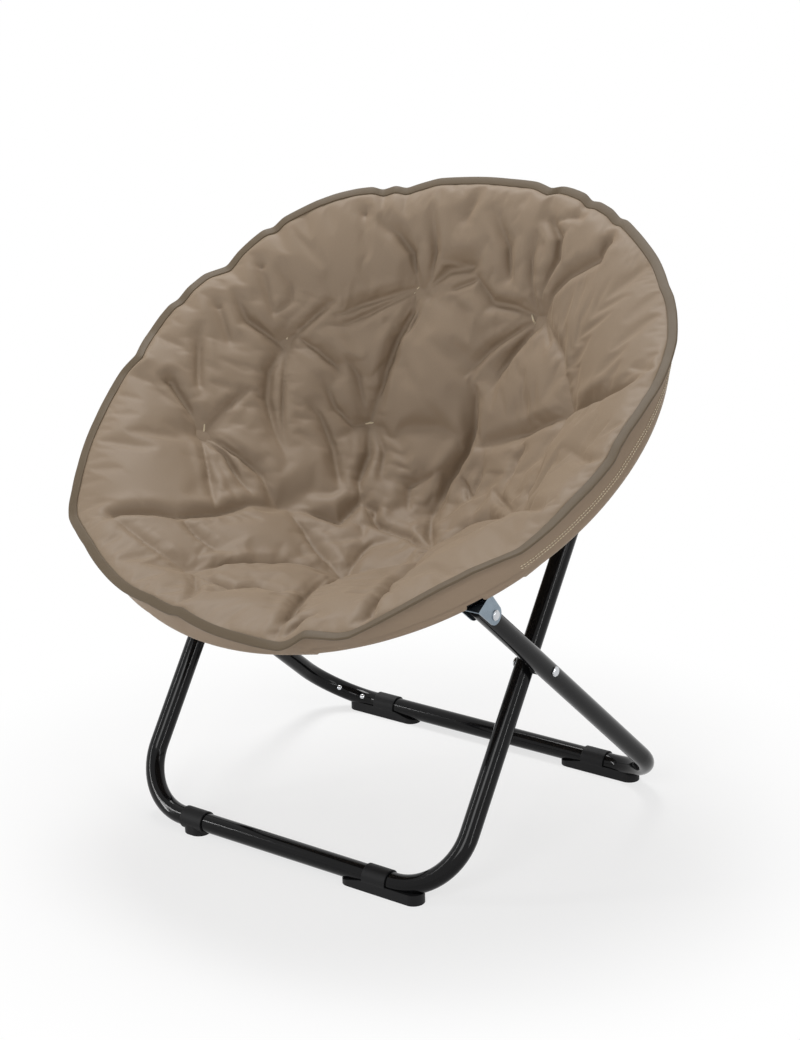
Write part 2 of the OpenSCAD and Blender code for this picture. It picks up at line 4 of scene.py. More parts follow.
import bmesh
import bpy
import numpy as np
from mathutils import Euler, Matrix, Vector


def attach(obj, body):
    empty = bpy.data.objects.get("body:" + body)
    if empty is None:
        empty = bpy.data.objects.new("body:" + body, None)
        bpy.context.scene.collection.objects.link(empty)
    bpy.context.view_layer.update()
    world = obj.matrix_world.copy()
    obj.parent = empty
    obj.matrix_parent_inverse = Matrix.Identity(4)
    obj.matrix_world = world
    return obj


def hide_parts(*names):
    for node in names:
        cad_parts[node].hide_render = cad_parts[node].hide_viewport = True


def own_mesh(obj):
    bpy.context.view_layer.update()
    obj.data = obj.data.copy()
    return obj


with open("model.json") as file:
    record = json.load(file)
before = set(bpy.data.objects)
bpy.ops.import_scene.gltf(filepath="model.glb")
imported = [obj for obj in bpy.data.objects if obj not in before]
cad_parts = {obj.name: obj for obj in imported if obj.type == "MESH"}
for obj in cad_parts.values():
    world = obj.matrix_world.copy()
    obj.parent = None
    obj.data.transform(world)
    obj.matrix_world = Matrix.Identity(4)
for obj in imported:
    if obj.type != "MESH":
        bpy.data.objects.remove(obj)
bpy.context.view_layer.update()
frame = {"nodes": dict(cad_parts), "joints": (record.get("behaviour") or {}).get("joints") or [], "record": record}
print("frame loaded")

millimetre = 0.001

# The rim's own frame: x across, v up the slope, w square to it, all in metres
rim = {
    "radius": 0.3725,  # to the middle of the rim tube
    "tilt": math.radians(33.5),
    "hingeAngle": math.radians(24.5),
    "hingeDrop": 0.018,
    "tubeRadius": 0.011,
    "tubeRoom": 0.003,  # between the tube and the pad over it
    "edgeRadius": 0.3907,  # where the pad goes into the binding
    "edgeHeight": 0.0302,
    "edgeThickness": 0.002,
    "crownSpread": 0.05,
    "bowlDepth": 0.190,
    "underDepth": 0.240,
    "bowlPower": 1.75,
    "underPower": 1.5,
}
hingeV = rim["radius"] * math.sin(rim["hingeAngle"])
hinge = Vector(next(j for j in frame["joints"] if j["name"] == "back_rim_fold")["pos_m"])
rimUp = Vector((0, math.cos(rim["tilt"]), math.sin(rim["tilt"])))
rimNormal = Vector((0, -math.sin(rim["tilt"]), math.cos(rim["tilt"])))
rimCentre = hinge - rimUp * hingeV + rimNormal * rim["hingeDrop"]
rimAxes = np.array([(1, 0, 0), rimUp, rimNormal])


def toWorld(points):
    return np.asarray(points) @ rimAxes + np.array(rimCentre)


def toRim(points):
    return (np.asarray(points) - np.array(rimCentre)) @ rimAxes.T


def polar(length, turn):
    return np.stack([length * np.cos(turn), length * np.sin(turn)], axis=-1)


# Points round the rim's axis, in its own frame
def roundRim(radius, angle, height):
    return np.stack([radius * np.cos(angle), radius * np.sin(angle), height], axis=-1)


def squareTo(way):
    return np.stack([-way[..., 1], way[..., 0]], axis=-1)


def addObject(name, data):
    body = bpy.data.objects.new(name, data)
    bpy.context.scene.collection.objects.link(body)
    return body


# Camera and light
photo = {
    "width": 800,
    "height": 1040,
    "focal": 2194.43,
    "seatFrom": 2.2,  # the bowl is looked for between these depths in front of the camera
    "seatTo": 3.6,
    "seatSteps": 2801,
}
cameraPlace = {
    "location": (1.65658, -2.11759, 1.24575),
    "turn": (72.524, 1.414, 36.796),
    "sensor": 36,
    "clipEnd": 50,
}
camera = addObject("camera", bpy.data.cameras.new("camera"))
camera.location = cameraPlace["location"]
camera.rotation_euler = Euler([math.radians(a) for a in cameraPlace["turn"]])
camera.data.sensor_width = cameraPlace["sensor"]
camera.data.lens = photo["focal"] / photo["height"] * cameraPlace["sensor"]
camera.data.clip_end = cameraPlace["clipEnd"]
bpy.context.scene.camera = camera
bpy.context.scene.view_settings.view_transform = "Standard"

studio = {
    "world": 0.20,
    "floorGrey": 0.93,
    "floorRoughness": 0.9,
    "floorSpecular": 0.1,
    "floorSize": 40,
    "floorNear": 0.35,  # the floor's shading fades to white between these radii
    "floorFar": 0.72,
    "floorGlow": 0.70,  # how white it already is in the middle, so the shadow stays faint
    # name: place, size, power, in the room's own frame
    "lamps": {
        "topLamp": ((-0.9, 0.65, 2.9), (1.0, 1.0), 46),
        "frontLamp": ((0.8, -3.2, 2.1), (1.3, 1.3), 35),
        "sideLamp": ((2.9, 0.2, 1.6), (1.0, 1.0), 9),
        "leftStrip": ((-2.0, -1.9, 0.9), (0.10, 1.8), 17),
        "rightStrip": ((2.7, -0.9, 0.9), (0.08, 1.8), 12),
    },
    "aim": (0, 0, 0.42),
}


def lamp(name, place, size, power):
    light = bpy.data.lights.new(name, "AREA")
    light.shape = "RECTANGLE"
    light.size, light.size_y = size
    light.energy = power
    body = addObject(name, light)
    body.location = place
    aim = Vector(studio["aim"]) - Vector(place)
    body.rotation_euler = aim.to_track_quat("-Z", "Y").to_euler()


for name, (place, size, power) in studio["lamps"].items():
    lamp(name, place, size, power)


# Gives each named input of a node a value, or links it to another node's output
def setInputs(tree, node, **inputs):
    for name, value in inputs.items():
        socket = node.inputs[name.replace("_", " ")]
        if isinstance(value, bpy.types.NodeSocket):
            tree.links.new(value, socket)
        else:
            socket.default_value = value


def addNode(tree, kind, settings=None, **inputs):
    node = tree.nodes.new(kind)
    for name, value in (settings or {}).items():
        setattr(node, name, value)
    setInputs(tree, node, **inputs)
    return node


def addMath(tree, operation, first, second):
    node = addNode(tree, "ShaderNodeMath", {"operation": operation})
    tree.links.new(first, node.inputs[0])
    tree.links.new(second, node.inputs[1])
    return node.outputs[0]


def addRange(tree, value, low, high):
    return addNode(tree, "ShaderNodeMapRange", Value=value, To_Min=low, To_Max=high).outputs["Result"]


def newMaterial(name, colour, roughness, **inputs):
    material = bpy.data.materials.new(name)
    material.use_nodes = True
    tree = material.node_tree
    shader = tree.nodes["Principled BSDF"]
    setInputs(tree, shader, Base_Color=(*colour, 1), Roughness=roughness, **inputs)
    return material, tree, shader


def seenDirectly(tree):
    path = addNode(tree, "ShaderNodeLightPath").outputs
    seen = addMath(tree, "MAXIMUM", path["Is Camera Ray"], path["Is Glossy Ray"])
    return addMath(tree, "MAXIMUM", seen, path["Is Transmission Ray"])


def makeWorld():
    world = bpy.data.worlds.new("studioWorld")
    bpy.context.scene.world = world
    world.use_nodes = True
    tree = world.node_tree
    strength = addRange(tree, seenDirectly(tree), studio["world"], 1)
    setInputs(tree, tree.nodes["Background"], Color=(1, 1, 1, 1), Strength=strength)


def makeFloor():
    half = studio["floorSize"] / 2
    corners = [(-half, -half, 0), (half, -half, 0), (half, half, 0), (-half, half, 0)]
    mesh = bpy.data.meshes.new("floor")
    mesh.from_pydata(corners, [], [(0, 1, 2, 3)])
    material, tree, shader = newMaterial("floorPaper", [studio["floorGrey"]] * 3, studio["floorRoughness"],
                                         Specular_IOR_Level=studio["floorSpecular"])
    where = addNode(tree, "ShaderNodeTexCoord").outputs["Object"]
    radius = addNode(tree, "ShaderNodeVectorMath", {"operation": "LENGTH"}, Vector=where).outputs["Value"]
    fade = addNode(tree, "ShaderNodeMapRange", {"interpolation_type": "SMOOTHSTEP"}, Value=radius,
                   From_Min=studio["floorNear"], From_Max=studio["floorFar"], To_Min=studio["floorGlow"])
    share = addMath(tree, "MULTIPLY", fade.outputs["Result"], seenDirectly(tree))
    white = addNode(tree, "ShaderNodeEmission")
    mix = addNode(tree, "ShaderNodeMixShader", Fac=share)
    tree.links.new(shader.outputs["BSDF"], mix.inputs[1])
    tree.links.new(white.outputs["Emission"], mix.inputs[2])
    setInputs(tree, tree.nodes["Material Output"], Surface=mix.outputs["Shader"])
    mesh.materials.append(material)
    addObject("floor", mesh)


makeWorld()
makeFloor()
print("camera, lamps and floor made")


# Materials
def addNoise(tree, scale, detail):
    where = addNode(tree, "ShaderNodeTexCoord").outputs["Object"]
    return addNode(tree, "ShaderNodeTexNoise", Scale=scale, Detail=detail, Vector=where).outputs["Fac"]


def addTint(tree, shader, value, dark, light):
    tint = addNode(tree, "ShaderNodeMix", {"data_type": "RGBA"}, Factor=value, A=(*dark, 1), B=(*light, 1))
    setInputs(tree, shader, Base_Color=tint.outputs["Result"])


def addBump(tree, shader, height, strength, distance):
    bump = addNode(tree, "ShaderNodeBump", Strength=strength, Distance=distance, Height=height)
    setInputs(tree, shader, Normal=bump.outputs["Normal"])


# What all the woven cloth shares. A tone is a share of the step from its dark to its light colour.
wovenCloth = {
    "roughness": 0.56,
    "sheen": 0.14,
    "sheenRoughness": 0.4,
    "sheenTint": 2.4,  # times its light colour
    "specular": 0.30,
    "wander": 0.4,  # of the threads
    "cloud": {"scale": 7, "detail": 3},
    "cloudTone": (-0.12, 0.12),
    "speckle": {"scale": 900, "detail": 1},
    "speckleTone": (0.2, 0.8),
    "speckleHeight": (-0.3, 0.3),
    "weaveTone": (-0.08, 0.08),
    "bump": 0.35,
}


# One band per thread width
def addWave(tree, vector, direction, thread):
    wave = addNode(tree, "ShaderNodeTexWave", {"bands_direction": direction}, Vector=vector,
                   Scale=math.pi / (10 * thread), Distortion=wovenCloth["wander"])
    return wave.outputs["Fac"]


def clothMaterial(name, dark, light, thread, bumpHeight, ribs=False):
    make = wovenCloth
    material, tree, shader = newMaterial(
        name, light, make["roughness"], Sheen_Weight=make["sheen"], Sheen_Roughness=make["sheenRoughness"],
        Sheen_Tint=(*(make["sheenTint"] * c for c in light), 1), Specular_IOR_Level=make["specular"])
    uv = addNode(tree, "ShaderNodeUVMap", {"uv_map": "cloth"}).outputs["UV"]
    weave = addWave(tree, uv, "X", thread)
    if not ribs:
        weave = addMath(tree, "MAXIMUM", weave, addWave(tree, uv, "Y", thread))
    cloud = addNoise(tree, **make["cloud"])
    speckle = addNoise(tree, **make["speckle"])
    speckled = addRange(tree, speckle, *make["speckleTone"])
    tone = addMath(tree, "ADD", addRange(tree, cloud, *make["cloudTone"]), speckled)
    tone = addMath(tree, "ADD", tone, addRange(tree, weave, *make["weaveTone"]))
    addTint(tree, shader, tone, dark, light)
    height = addMath(tree, "ADD", weave, addRange(tree, speckle, *make["speckleHeight"]))
    addBump(tree, shader, height, make["bump"], bumpHeight)
    return material


def threadMaterial():
    material, tree, shader = newMaterial("creamThread", (0.70, 0.60, 0.42), 0.55, Sheen_Weight=0.3)
    twist = addNoise(tree, scale=1400, detail=1)
    addTint(tree, shader, twist, (0.60, 0.50, 0.34), (0.78, 0.69, 0.50))
    addBump(tree, shader, twist, strength=0.5, distance=0.0001)
    return material


def powderCoat():
    material, tree, shader = newMaterial(
        "blackPowderCoat", (0.004, 0.004, 0.0045), 0.09, Specular_IOR_Level=0.17)
    orange = addNoise(tree, scale=420, detail=2)
    dust = addNoise(tree, scale=9, detail=4)
    setInputs(tree, shader, Roughness=addRange(tree, dust, low=0.07, high=0.13))
    addTint(tree, shader, dust, (0.003, 0.003, 0.0034), (0.006, 0.006, 0.0065))
    addBump(tree, shader, orange, strength=0.06, distance=0.00005)
    return material


def blackMoulding(name, colour, wornTint=1.6):
    material, tree, shader = newMaterial(name, colour, 0.5, Specular_IOR_Level=0.2)
    grain = addNoise(tree, scale=1600, detail=2)
    wear = addNoise(tree, scale=22, detail=4)
    setInputs(tree, shader, Roughness=addRange(tree, wear, low=0.42, high=0.62))
    addTint(tree, shader, wear, colour, tuple(wornTint * c for c in colour))
    addBump(tree, shader, grain, strength=0.3, distance=0.00012)
    return material


def platedMetal(name, dark, light, roughLow, roughHigh):
    material, tree, shader = newMaterial(name, light, roughLow, Metallic=1.0)
    cloud = addNoise(tree, scale=60, detail=4)
    grain = addNoise(tree, scale=1100, detail=2)
    setInputs(tree, shader, Roughness=addRange(tree, cloud, roughLow, roughHigh))
    addTint(tree, shader, cloud, dark, light)
    addBump(tree, shader, grain, strength=0.15, distance=0.00006)
    return material


padCloth = clothMaterial("padCloth", (0.238, 0.176, 0.120), (0.292, 0.219, 0.152),
                         thread=0.0007, bumpHeight=0.00010)
sleeveCloth = clothMaterial("sleeveCloth", (0.244, 0.178, 0.122), (0.300, 0.222, 0.154),
                            thread=0.0007, bumpHeight=0.00010)
bindingTape = clothMaterial("bindingTape", (0.098, 0.071, 0.043), (0.138, 0.102, 0.063),
                            thread=0.0011, bumpHeight=0.00022, ribs=True)
creamThread = threadMaterial()
rivetSteel = platedMetal("rivetSteel", (0.45, 0.47, 0.50), (0.68, 0.69, 0.70), 0.16, 0.30)
finishes = {
    "black_tube": powderCoat(),
    "foot_plastic": blackMoulding("footPlastic", (0.0045, 0.0045, 0.005)),
    "black_plastic": blackMoulding("capPlastic", (0.007, 0.007, 0.007)),
    "zinc_plate": platedMetal("zincPlate", (0.15, 0.19, 0.23), (0.31, 0.37, 0.42), 0.20, 0.36),
    "rivet_steel": rivetSteel,
    "pad_fabric": padCloth,
    "sleeve_fabric": sleeveCloth,
    "binding_tape": bindingTape,
}
slotOf = {s["node"]: s["material_slot"] for s in frame["record"]["subparts"]}
for name, part in frame["nodes"].items():
    part.data.materials.clear()
    part.data.materials.append(finishes[slotOf[name]])
print("materials made")

tubeClear = rim["tubeRadius"] + rim["tubeRoom"]


# The seat's surfaces, before folds and filling
def bowlTop(radius, crown):
    q = np.maximum(0, 1 - (radius / rim["edgeRadius"]) ** 2)
    rise = crown * (1 - np.exp(-q / rim["crownSpread"]))
    return rim["edgeHeight"] + rise - (rim["bowlDepth"] + rim["edgeHeight"] + crown) * q ** rim["bowlPower"]


def bowlUnder(radius):
    inner = rim["radius"] - tubeClear
    hang = -rim["underDepth"] * np.maximum(0, 1 - (radius / inner) ** 2) ** rim["underPower"]
    over = np.sqrt(np.maximum(0, tubeClear ** 2 - (radius - rim["radius"]) ** 2))
    share = (radius - rim["radius"]) / (rim["edgeRadius"] - rim["radius"])
    out = tubeClear + (rim["edgeHeight"] - rim["edgeThickness"] - tubeClear) * share
    return np.where(radius < inner, hang, np.where(radius < rim["radius"], over, out))


# The ways from the camera to pixels of the photograph
def photoAims(pixels):
    aims = [((x - photo["width"] / 2) / photo["focal"], (photo["height"] / 2 - y) / photo["focal"], -1)
            for x, y in pixels]
    return np.array(aims) @ np.array(camera.rotation_euler.to_matrix()).T


# Where pixels of the photograph lie on the bowl
def photoToBowl(pixels):
    start = toRim(np.array(camera.location))
    steps = np.linspace(photo["seatFrom"], photo["seatTo"], photo["seatSteps"])
    places = []
    for aim in photoAims(pixels) @ rimAxes.T:
        way = start + steps[:, None] * aim
        radius = np.hypot(way[:, 0], way[:, 1])
        top = bowlTop(np.minimum(radius, rim["edgeRadius"]), seat["startCrown"])
        below = (way[:, 2] < top) & (radius < rim["edgeRadius"])
        places.append(way[np.argmax(below)] if below.any() else way[np.argmin(radius)])
    return np.array(places)


# Tufts and folds, as pixels of the photograph
tufts = {
    "depth": 0.020,
    "reach": 0.030,
    "holdReach": 0.005,
    "stitched": [(203, 430), (286, 342), (417, 289), (534, 318), (370, 422)],
    "hidden": [(190, 561), (343, 568), (513, 512), (430, 505), (283, 500), (562, 412)],
}
# Depth and width in millimetres, then the pixels from the fold's deep end on
folds = [
    # at the back
    (9, 9, (284, 343), (269, 333), (247, 318), (231, 289)),
    (8, 6, (284, 343), (302, 326), (329, 303), (342, 295)),
    (6, 7, (273, 313), (269, 296), (261, 266), (249, 243)),
    (5, 6, (273, 313), (292, 300), (292, 286), (281, 270)),
    (7, 8, (300, 337), (321, 352), (336, 365), (345, 383)),
    (9, 9, (415, 284), (411, 252), (398, 233), (376, 218)),
    (8, 6, (364, 213), (374, 202), (383, 191)),
    (5, 6, (364, 213), (367, 232)),
    (7, 8, (428, 281), (434, 252), (434, 204)),
    (9, 12, (430, 284), (446, 270), (469, 266), (440, 258)),
    (8, 7, (413, 287), (364, 303), (329, 318)),
    (7, 6, (413, 290), (373, 311), (343, 324), (320, 326)),
    (9, 7, (415, 292), (411, 312), (396, 339), (386, 368), (379, 400), (370, 421)),
    (6, 5, (417, 311), (406, 336)),
    (6, 7, (364, 405), (358, 375), (345, 355)),
    (5, 7, (465, 218), (475, 203), (485, 189)),
    (7, 7, (508, 277), (507, 247), (493, 205)),
    (8, 7, (550, 219), (558, 237), (555, 259), (539, 291), (534, 313)),
    (6, 6, (531, 313), (529, 280), (530, 259), (539, 227)),
    (8, 8, (538, 314), (552, 291), (568, 275), (598, 258), (607, 240), (595, 211)),
    (5, 5, (552, 221), (577, 216), (596, 208)),
    (8, 6, (530, 319), (488, 350), (464, 379)),
    (10, 8, (534, 321), (509, 355), (498, 372), (492, 391)),
    (5, 6, (538, 321), (550, 349)),
    (5, 7, (541, 320), (561, 355), (565, 393)),
    (8, 8, (532, 316), (512, 306), (491, 302), (477, 278), (469, 266)),
    (5, 9, (477, 279), (440, 294)),
    # at the left
    (9, 8, (202, 428), (190, 407), (171, 380), (150, 345)),
    (6, 7, (199, 384), (199, 346), (203, 321)),
    (6, 8, (229, 339), (219, 306), (196, 296)),
    (7, 6, (204, 433), (210, 470), (216, 512)),
    (8, 6, (205, 433), (226, 452), (241, 478), (253, 495)),
    (7, 7, (207, 431), (240, 454), (262, 472), (279, 504)),
    (5, 6, (206, 427), (230, 405), (252, 386)),
    (8, 9, (283, 345), (270, 372), (268, 398), (275, 427), (287, 459)),
    (5, 6, (286, 347), (284, 391), (283, 421), (289, 458)),
    (7, 8, (366, 421), (353, 423), (335, 406), (323, 378)),
    (7, 9, (339, 476), (333, 444), (320, 414), (303, 399)),
    (7, 7, (369, 419), (378, 395), (392, 360)),
    (10, 7, (368, 424), (369, 452), (359, 479), (361, 498)),
    (6, 8, (374, 424), (384, 450), (380, 480)),
    # at the front
    (9, 8, (178, 514), (153, 510), (114, 510), (84, 519)),
    (8, 8, (178, 514), (216, 511), (250, 502), (284, 500)),
    (6, 7, (188, 560), (161, 549), (114, 519)),
    (6, 7, (217, 547), (200, 535), (180, 516)),
    (8, 7, (194, 562), (234, 560), (287, 561), (330, 567)),
    (7, 7, (194, 566), (216, 580), (234, 587), (260, 586), (294, 595)),
    (8, 8, (342, 567), (319, 548), (305, 528), (289, 509)),
    (7, 7, (344, 569), (362, 550), (376, 541)),
    (6, 6, (341, 574), (312, 591)),
    (9, 7, (276, 637), (291, 612), (303, 594), (330, 575)),
    (7, 7, (284, 634), (301, 619), (321, 612)),
    (9, 10, (361, 498), (340, 518), (310, 509), (285, 502)),
    (7, 7, (361, 500), (375, 508), (373, 528)),
    (5, 6, (190, 608), (196, 590), (195, 567)),
    (8, 8, (410, 535), (380, 524), (361, 500)),
    # at the right
    (14, 9, (428, 507), (447, 476), (463, 452), (470, 432), (477, 385)),
    (11, 8, (428, 507), (427, 528), (432, 548)),
    (8, 7, (408, 535), (432, 548)),
    (11, 7, (361, 628), (369, 610), (382, 594), (398, 578), (432, 550)),
    (8, 8, (432, 550), (463, 528), (485, 517), (513, 512)),
    (9, 8, (561, 412), (586, 401), (627, 385), (660, 375)),
    (8, 8, (561, 412), (520, 433), (476, 449)),
    (5, 6, (563, 409), (565, 373)),
    (6, 6, (511, 511), (500, 500), (493, 490)),
    (6, 6, (515, 511), (526, 491), (544, 469)),
    (5, 6, (510, 476), (516, 459), (526, 446)),
    (7, 6, (468, 497), (461, 476)),
    (7, 6, (468, 497), (483, 467)),
    (7, 6, (605, 467), (589, 463), (571, 453)),
    (6, 5, (666, 371), (650, 372), (631, 368)),
    (7, 8, (407, 506), (408, 485), (434, 473)),
    (6, 8, (513, 512), (545, 511), (570, 498)),
]
# The bound edge round the rim: angle in degrees, lean in degrees and reach in millimetres,
# both from the middle of the rim tube to the middle of the tape
boundEdge = {
    "places": [
        (0, 75, 43), (3.5, 72, 43), (7.5, 68, 43), (11, 63, 42), (15, 59, 43), (18.5, 56, 42),
        (22.5, 53, 43), (30, 53, 43), (34, 55, 44), (37, 58, 43), (45, 56, 43), (50, 57, 43), (55, 56, 43),
        (59, 53, 43), (61, 54, 39), (64, 52, 43), (68, 51, 43), (70, 52, 39), (72, 51, 45), (76, 48, 45),
        (78.5, 48, 44), (79.5, 64, 40), (84, 55, 43), (90, 59, 43), (96, 58, 44), (101, 60, 45),
        (106, 57, 46), (111, 59, 42), (113, 60, 40), (115, 60, 47), (118, 57, 45), (119.5, 59, 53),
        (123, 56, 57), (127, 59, 60), (131, 61, 61), (138.5, 59, 59), (141, 59, 53), (143, 59, 57),
        (146, 59, 54), (149.5, 57, 49), (153, 58, 41), (157.5, 55, 51), (162, 59, 51), (165, 58, 47),
        (167, 58, 50), (170, 57, 48), (174, 57, 44), (181, 80, 43), (185, 62, 42), (191, 59, 41),
        (197, 62, 42), (204, 57, 43), (209.5, 54, 44), (215, 43, 45), (218, 34, 47), (220.5, 30, 47),
        (226, 45, 44), (231.5, 56, 43), (240.5, 61, 41), (249, 67, 43), (256, 75, 43), (262, 75, 42),
        (264, 79, 43), (267, 74, 43), (272.5, 66, 42), (279, 58, 43), (284.5, 49, 42), (286.5, 46, 43),
        (288.5, 51, 43), (291, 63, 43), (293.5, 59, 42), (296.5, 52, 43), (299, 50, 44), (301, 55, 41),
        (305, 62, 43), (308.5, 68, 43), (312, 73, 43), (316, 77, 43), (322, 77, 43), (326, 72, 42),
        (330.5, 62, 44), (336, 64, 44), (343, 69, 43), (350, 69, 42), (353.5, 69, 42), (356.5, 74, 43),
    ],
    # angle, and how far the tape itself leans up from lying flat
    "lay": [(0, -4), (40, 4), (60, 12), (100, 12), (165, 10), (185, 10), (205, -2), (240, -8), (280, -8),
            (300, 18), (328, 18), (345, -4)],
    "tapeWidth": 0.0125,
    "tapeThickness": 0.0034,
    "tapeCorner": 0.0013,
    "padInset": 0.0052,  # from the middle of the tape to the pad's own edge
    "steps": 720,
    "smooth": 0.7,  # degrees
    "smoothSteps": 10,  # to each side
    "tableStep": 0.25,  # degrees
}
layTable = np.array(boundEdge["lay"]).T


# The traced places, evened out a little, as rows with a value at each step of the table
def evenEdge():
    places = np.array(boundEdge["places"]).T
    angle = np.arange(0, 360, boundEdge["tableStep"])
    spread = np.arange(-boundEdge["smoothSteps"], boundEdge["smoothSteps"] + 1)
    weight = np.exp(-(spread * boundEdge["tableStep"] / boundEdge["smooth"]) ** 2)
    rows = [angle]
    for row in places[1:]:
        value = np.interp(angle, places[0], row, period=360)
        rows.append(sum(w * np.roll(value, s) for w, s in zip(weight, spread)) / weight.sum())
    return rows


edgeTable = evenEdge()


def tableValue(table, row, angle):
    return np.interp(np.degrees(angle) % 360, table[0], table[row], period=360)


# The middle of the tape, and the ways along its width and square to it, each as [out, up]
def edgeAxes(angle):
    lean = np.radians(tableValue(edgeTable, 1, angle))
    reach = tableValue(edgeTable, 2, angle) * millimetre
    along = polar(1, np.radians(tableValue(layTable, 1, angle)))
    return polar(reach, lean), along, squareTo(along)


# How far the pad's edge lies from its even place, out and up
def edgeWave(angle):
    middle, along, _ = edgeAxes(np.asarray(angle, float))
    place = middle - along * boundEdge["padInset"]
    return rim["radius"] + place[..., 0] - rim["edgeRadius"], place[..., 1] - rim["edgeHeight"]


# A number or a vector of every item of a mesh, such as each vertex's place
def readAll(items, name, width=1, kind=np.float32):
    values = np.zeros(len(items) * width, kind)
    items.foreach_get(name, values)
    if kind == np.float32:
        values = values.astype(float)
    return values.reshape(-1, width) if width > 1 else values


def meshPoints(mesh):
    return readAll(mesh.vertices, "co", 3)


def placePoints(mesh, points):
    mesh.vertices.foreach_set("co", points.astype(np.float32).ravel())
    mesh.update()


def newObject(name, points, faces, material, uv=None, cornerUv=None):
    mesh = bpy.data.meshes.new(name)
    mesh.from_pydata([tuple(p) for p in points], [], [tuple(f) for f in faces])
    if uv is not None:
        cornerUv = np.asarray(uv)[readAll(mesh.loops, "vertex_index", kind=np.int32)]
    if cornerUv is not None:
        layer = mesh.uv_layers.new(name="cloth")
        layer.data.foreach_set("uv", np.asarray(cornerUv, np.float32).ravel())
    mesh.polygons.foreach_set("use_smooth", [True] * len(mesh.polygons))
    mesh.materials.append(material)
    mesh.update()
    return addObject(name, mesh)


def pointOutwards(piece):
    bm = bmesh.new()
    bm.from_mesh(piece.data)
    bmesh.ops.recalc_face_normals(bm, faces=bm.faces)
    bm.to_mesh(piece.data)
    bm.free()
    return piece


# Puts what the piece's one modifier makes into its mesh, and takes the modifier off
def settleModifier(piece):
    bpy.context.view_layer.update()
    shaped = piece.evaluated_get(bpy.context.evaluated_depsgraph_get())
    mesh = bpy.data.meshes.new_from_object(shaped)
    piece.modifiers.clear()
    old = piece.data
    piece.data = mesh
    bpy.data.meshes.remove(old)


# Faces from each ring of points to the next
def ringFaces(rings, sides, closed=False):
    faces = []
    for i in range(rings if closed else rings - 1):
        near, far = i * sides, (i + 1) % rings * sides
        for j in range(sides):
            k = (j + 1) % sides
            faces.append((near + j, near + k, far + k, far + j))
    return faces


# A closed section carried round the rim, as (angle, place in the section, [out, up])
def sweepRing(name, angles, sections, material):
    count, size = sections.shape[:2]
    points = roundRim(rim["radius"] + sections[..., 0], angles[:, None], sections[..., 1])
    lengths = np.linalg.norm(np.diff(sections[0], axis=0, append=sections[0][:1]), axis=1)
    girth = np.concatenate([[0], np.cumsum(lengths)])
    uvs = []
    for i in range(count):
        near, far = (2 * math.pi * place / count * rim["radius"] for place in (i, i + 1))
        for low, high in zip(girth[:-1], girth[1:]):
            uvs += [(near, low), (near, high), (far, high), (far, low)]
    faces = ringFaces(count, size, closed=True)
    return pointOutwards(newObject(name, toWorld(points.reshape(-1, 3)), faces, material, cornerUv=uvs))


# A square grid laid on a disc, as (share of the radius, angle)
def discGrid(count):
    a, b = np.meshgrid(np.linspace(-1, 1, count + 1), np.linspace(-1, 1, count + 1), indexing="ij")
    far, near = np.where(abs(a) > abs(b), a, b), np.where(abs(a) > abs(b), b, a)
    turn = math.pi / 4 * np.divide(near, far, out=np.zeros_like(far), where=far != 0)
    angle = np.where(abs(a) > abs(b), turn, math.pi / 2 - turn) + np.where(far < 0, math.pi, 0)
    index = np.arange((count + 1) ** 2).reshape(count + 1, count + 1)
    quads = np.stack([index[:-1, :-1], index[1:, :-1], index[1:, 1:], index[:-1, 1:]], axis=-1).reshape(-1, 4)
    return abs(far).ravel(), angle.ravel(), quads


# Spreads shares of the radius evenly along the profile's own length
def evenRadius(share, profile, steps=400):
    radius = np.linspace(0, rim["edgeRadius"], steps)
    height = profile(radius)
    length = np.concatenate([[0], np.cumsum(np.hypot(np.diff(radius), np.diff(height)))])
    return np.interp(share * length[-1], length, radius), share * length[-1]


# How far each point is from the path, and which share of the path's length is behind its nearest place
def distanceToPath(points, path):
    best = np.full(len(points), 1e9)
    along = np.zeros(len(points))
    lengths = np.linalg.norm(np.diff(path, axis=0), axis=1)
    total, walked = lengths.sum(), 0
    for start, end, length in zip(path[:-1], path[1:], lengths):
        way = (end - start) / max(length, 1e-9)
        step = np.clip((points - start) @ way, 0, length)
        gap = np.linalg.norm(points - start - step[:, None] * way, axis=1)
        closer = gap < best
        best[closer] = gap[closer]
        along[closer] = (walked + step[closer]) / total
        walked += length
    return best, along


seat = {
    "grid": 175,
    "startCrown": 0.004,
    "waveFrom": 0.30,  # the radius at which the cover starts to follow its wavy edge
    "edgeCalm": 0.03,  # the share of the radius, and the width, in which folds fade out at the edge
    "edgePast": 0.004,  # how far past the edge the pressed creases end
    "sewnShare": 0.999,  # of the radius, past which the cover is sewn fast
    "cap": 0.018,  # the furthest that the filling may move the cover
    "foldHold": 0.8,  # how firmly the folds are held while it fills
    "foldHoldWidth": 0.004,
    "foldScale": 1.25,
    "foldTaper": 2.2,  # full over the first half of the fold, fading to its end
    "foldTaperPower": 0.8,
    # the fine creases, pressed in after the filling, as shares of each fold's depth and width
    "creaseDepth": 0.62,
    "creaseWidth": 0.42,
    "creaseStart": 0.35,  # strength at the deep end of the fold, full a little further on
    "creaseRise": 4,
    "puffHeight": 0.30,
    "puffPlace": 2.3,
    "puffWidth": 1.2,
    "puffStop": 0.002,  # the depth of crease that leaves no puff
    "fill": 0.7,
    "foldedHeight": 0.031,
}
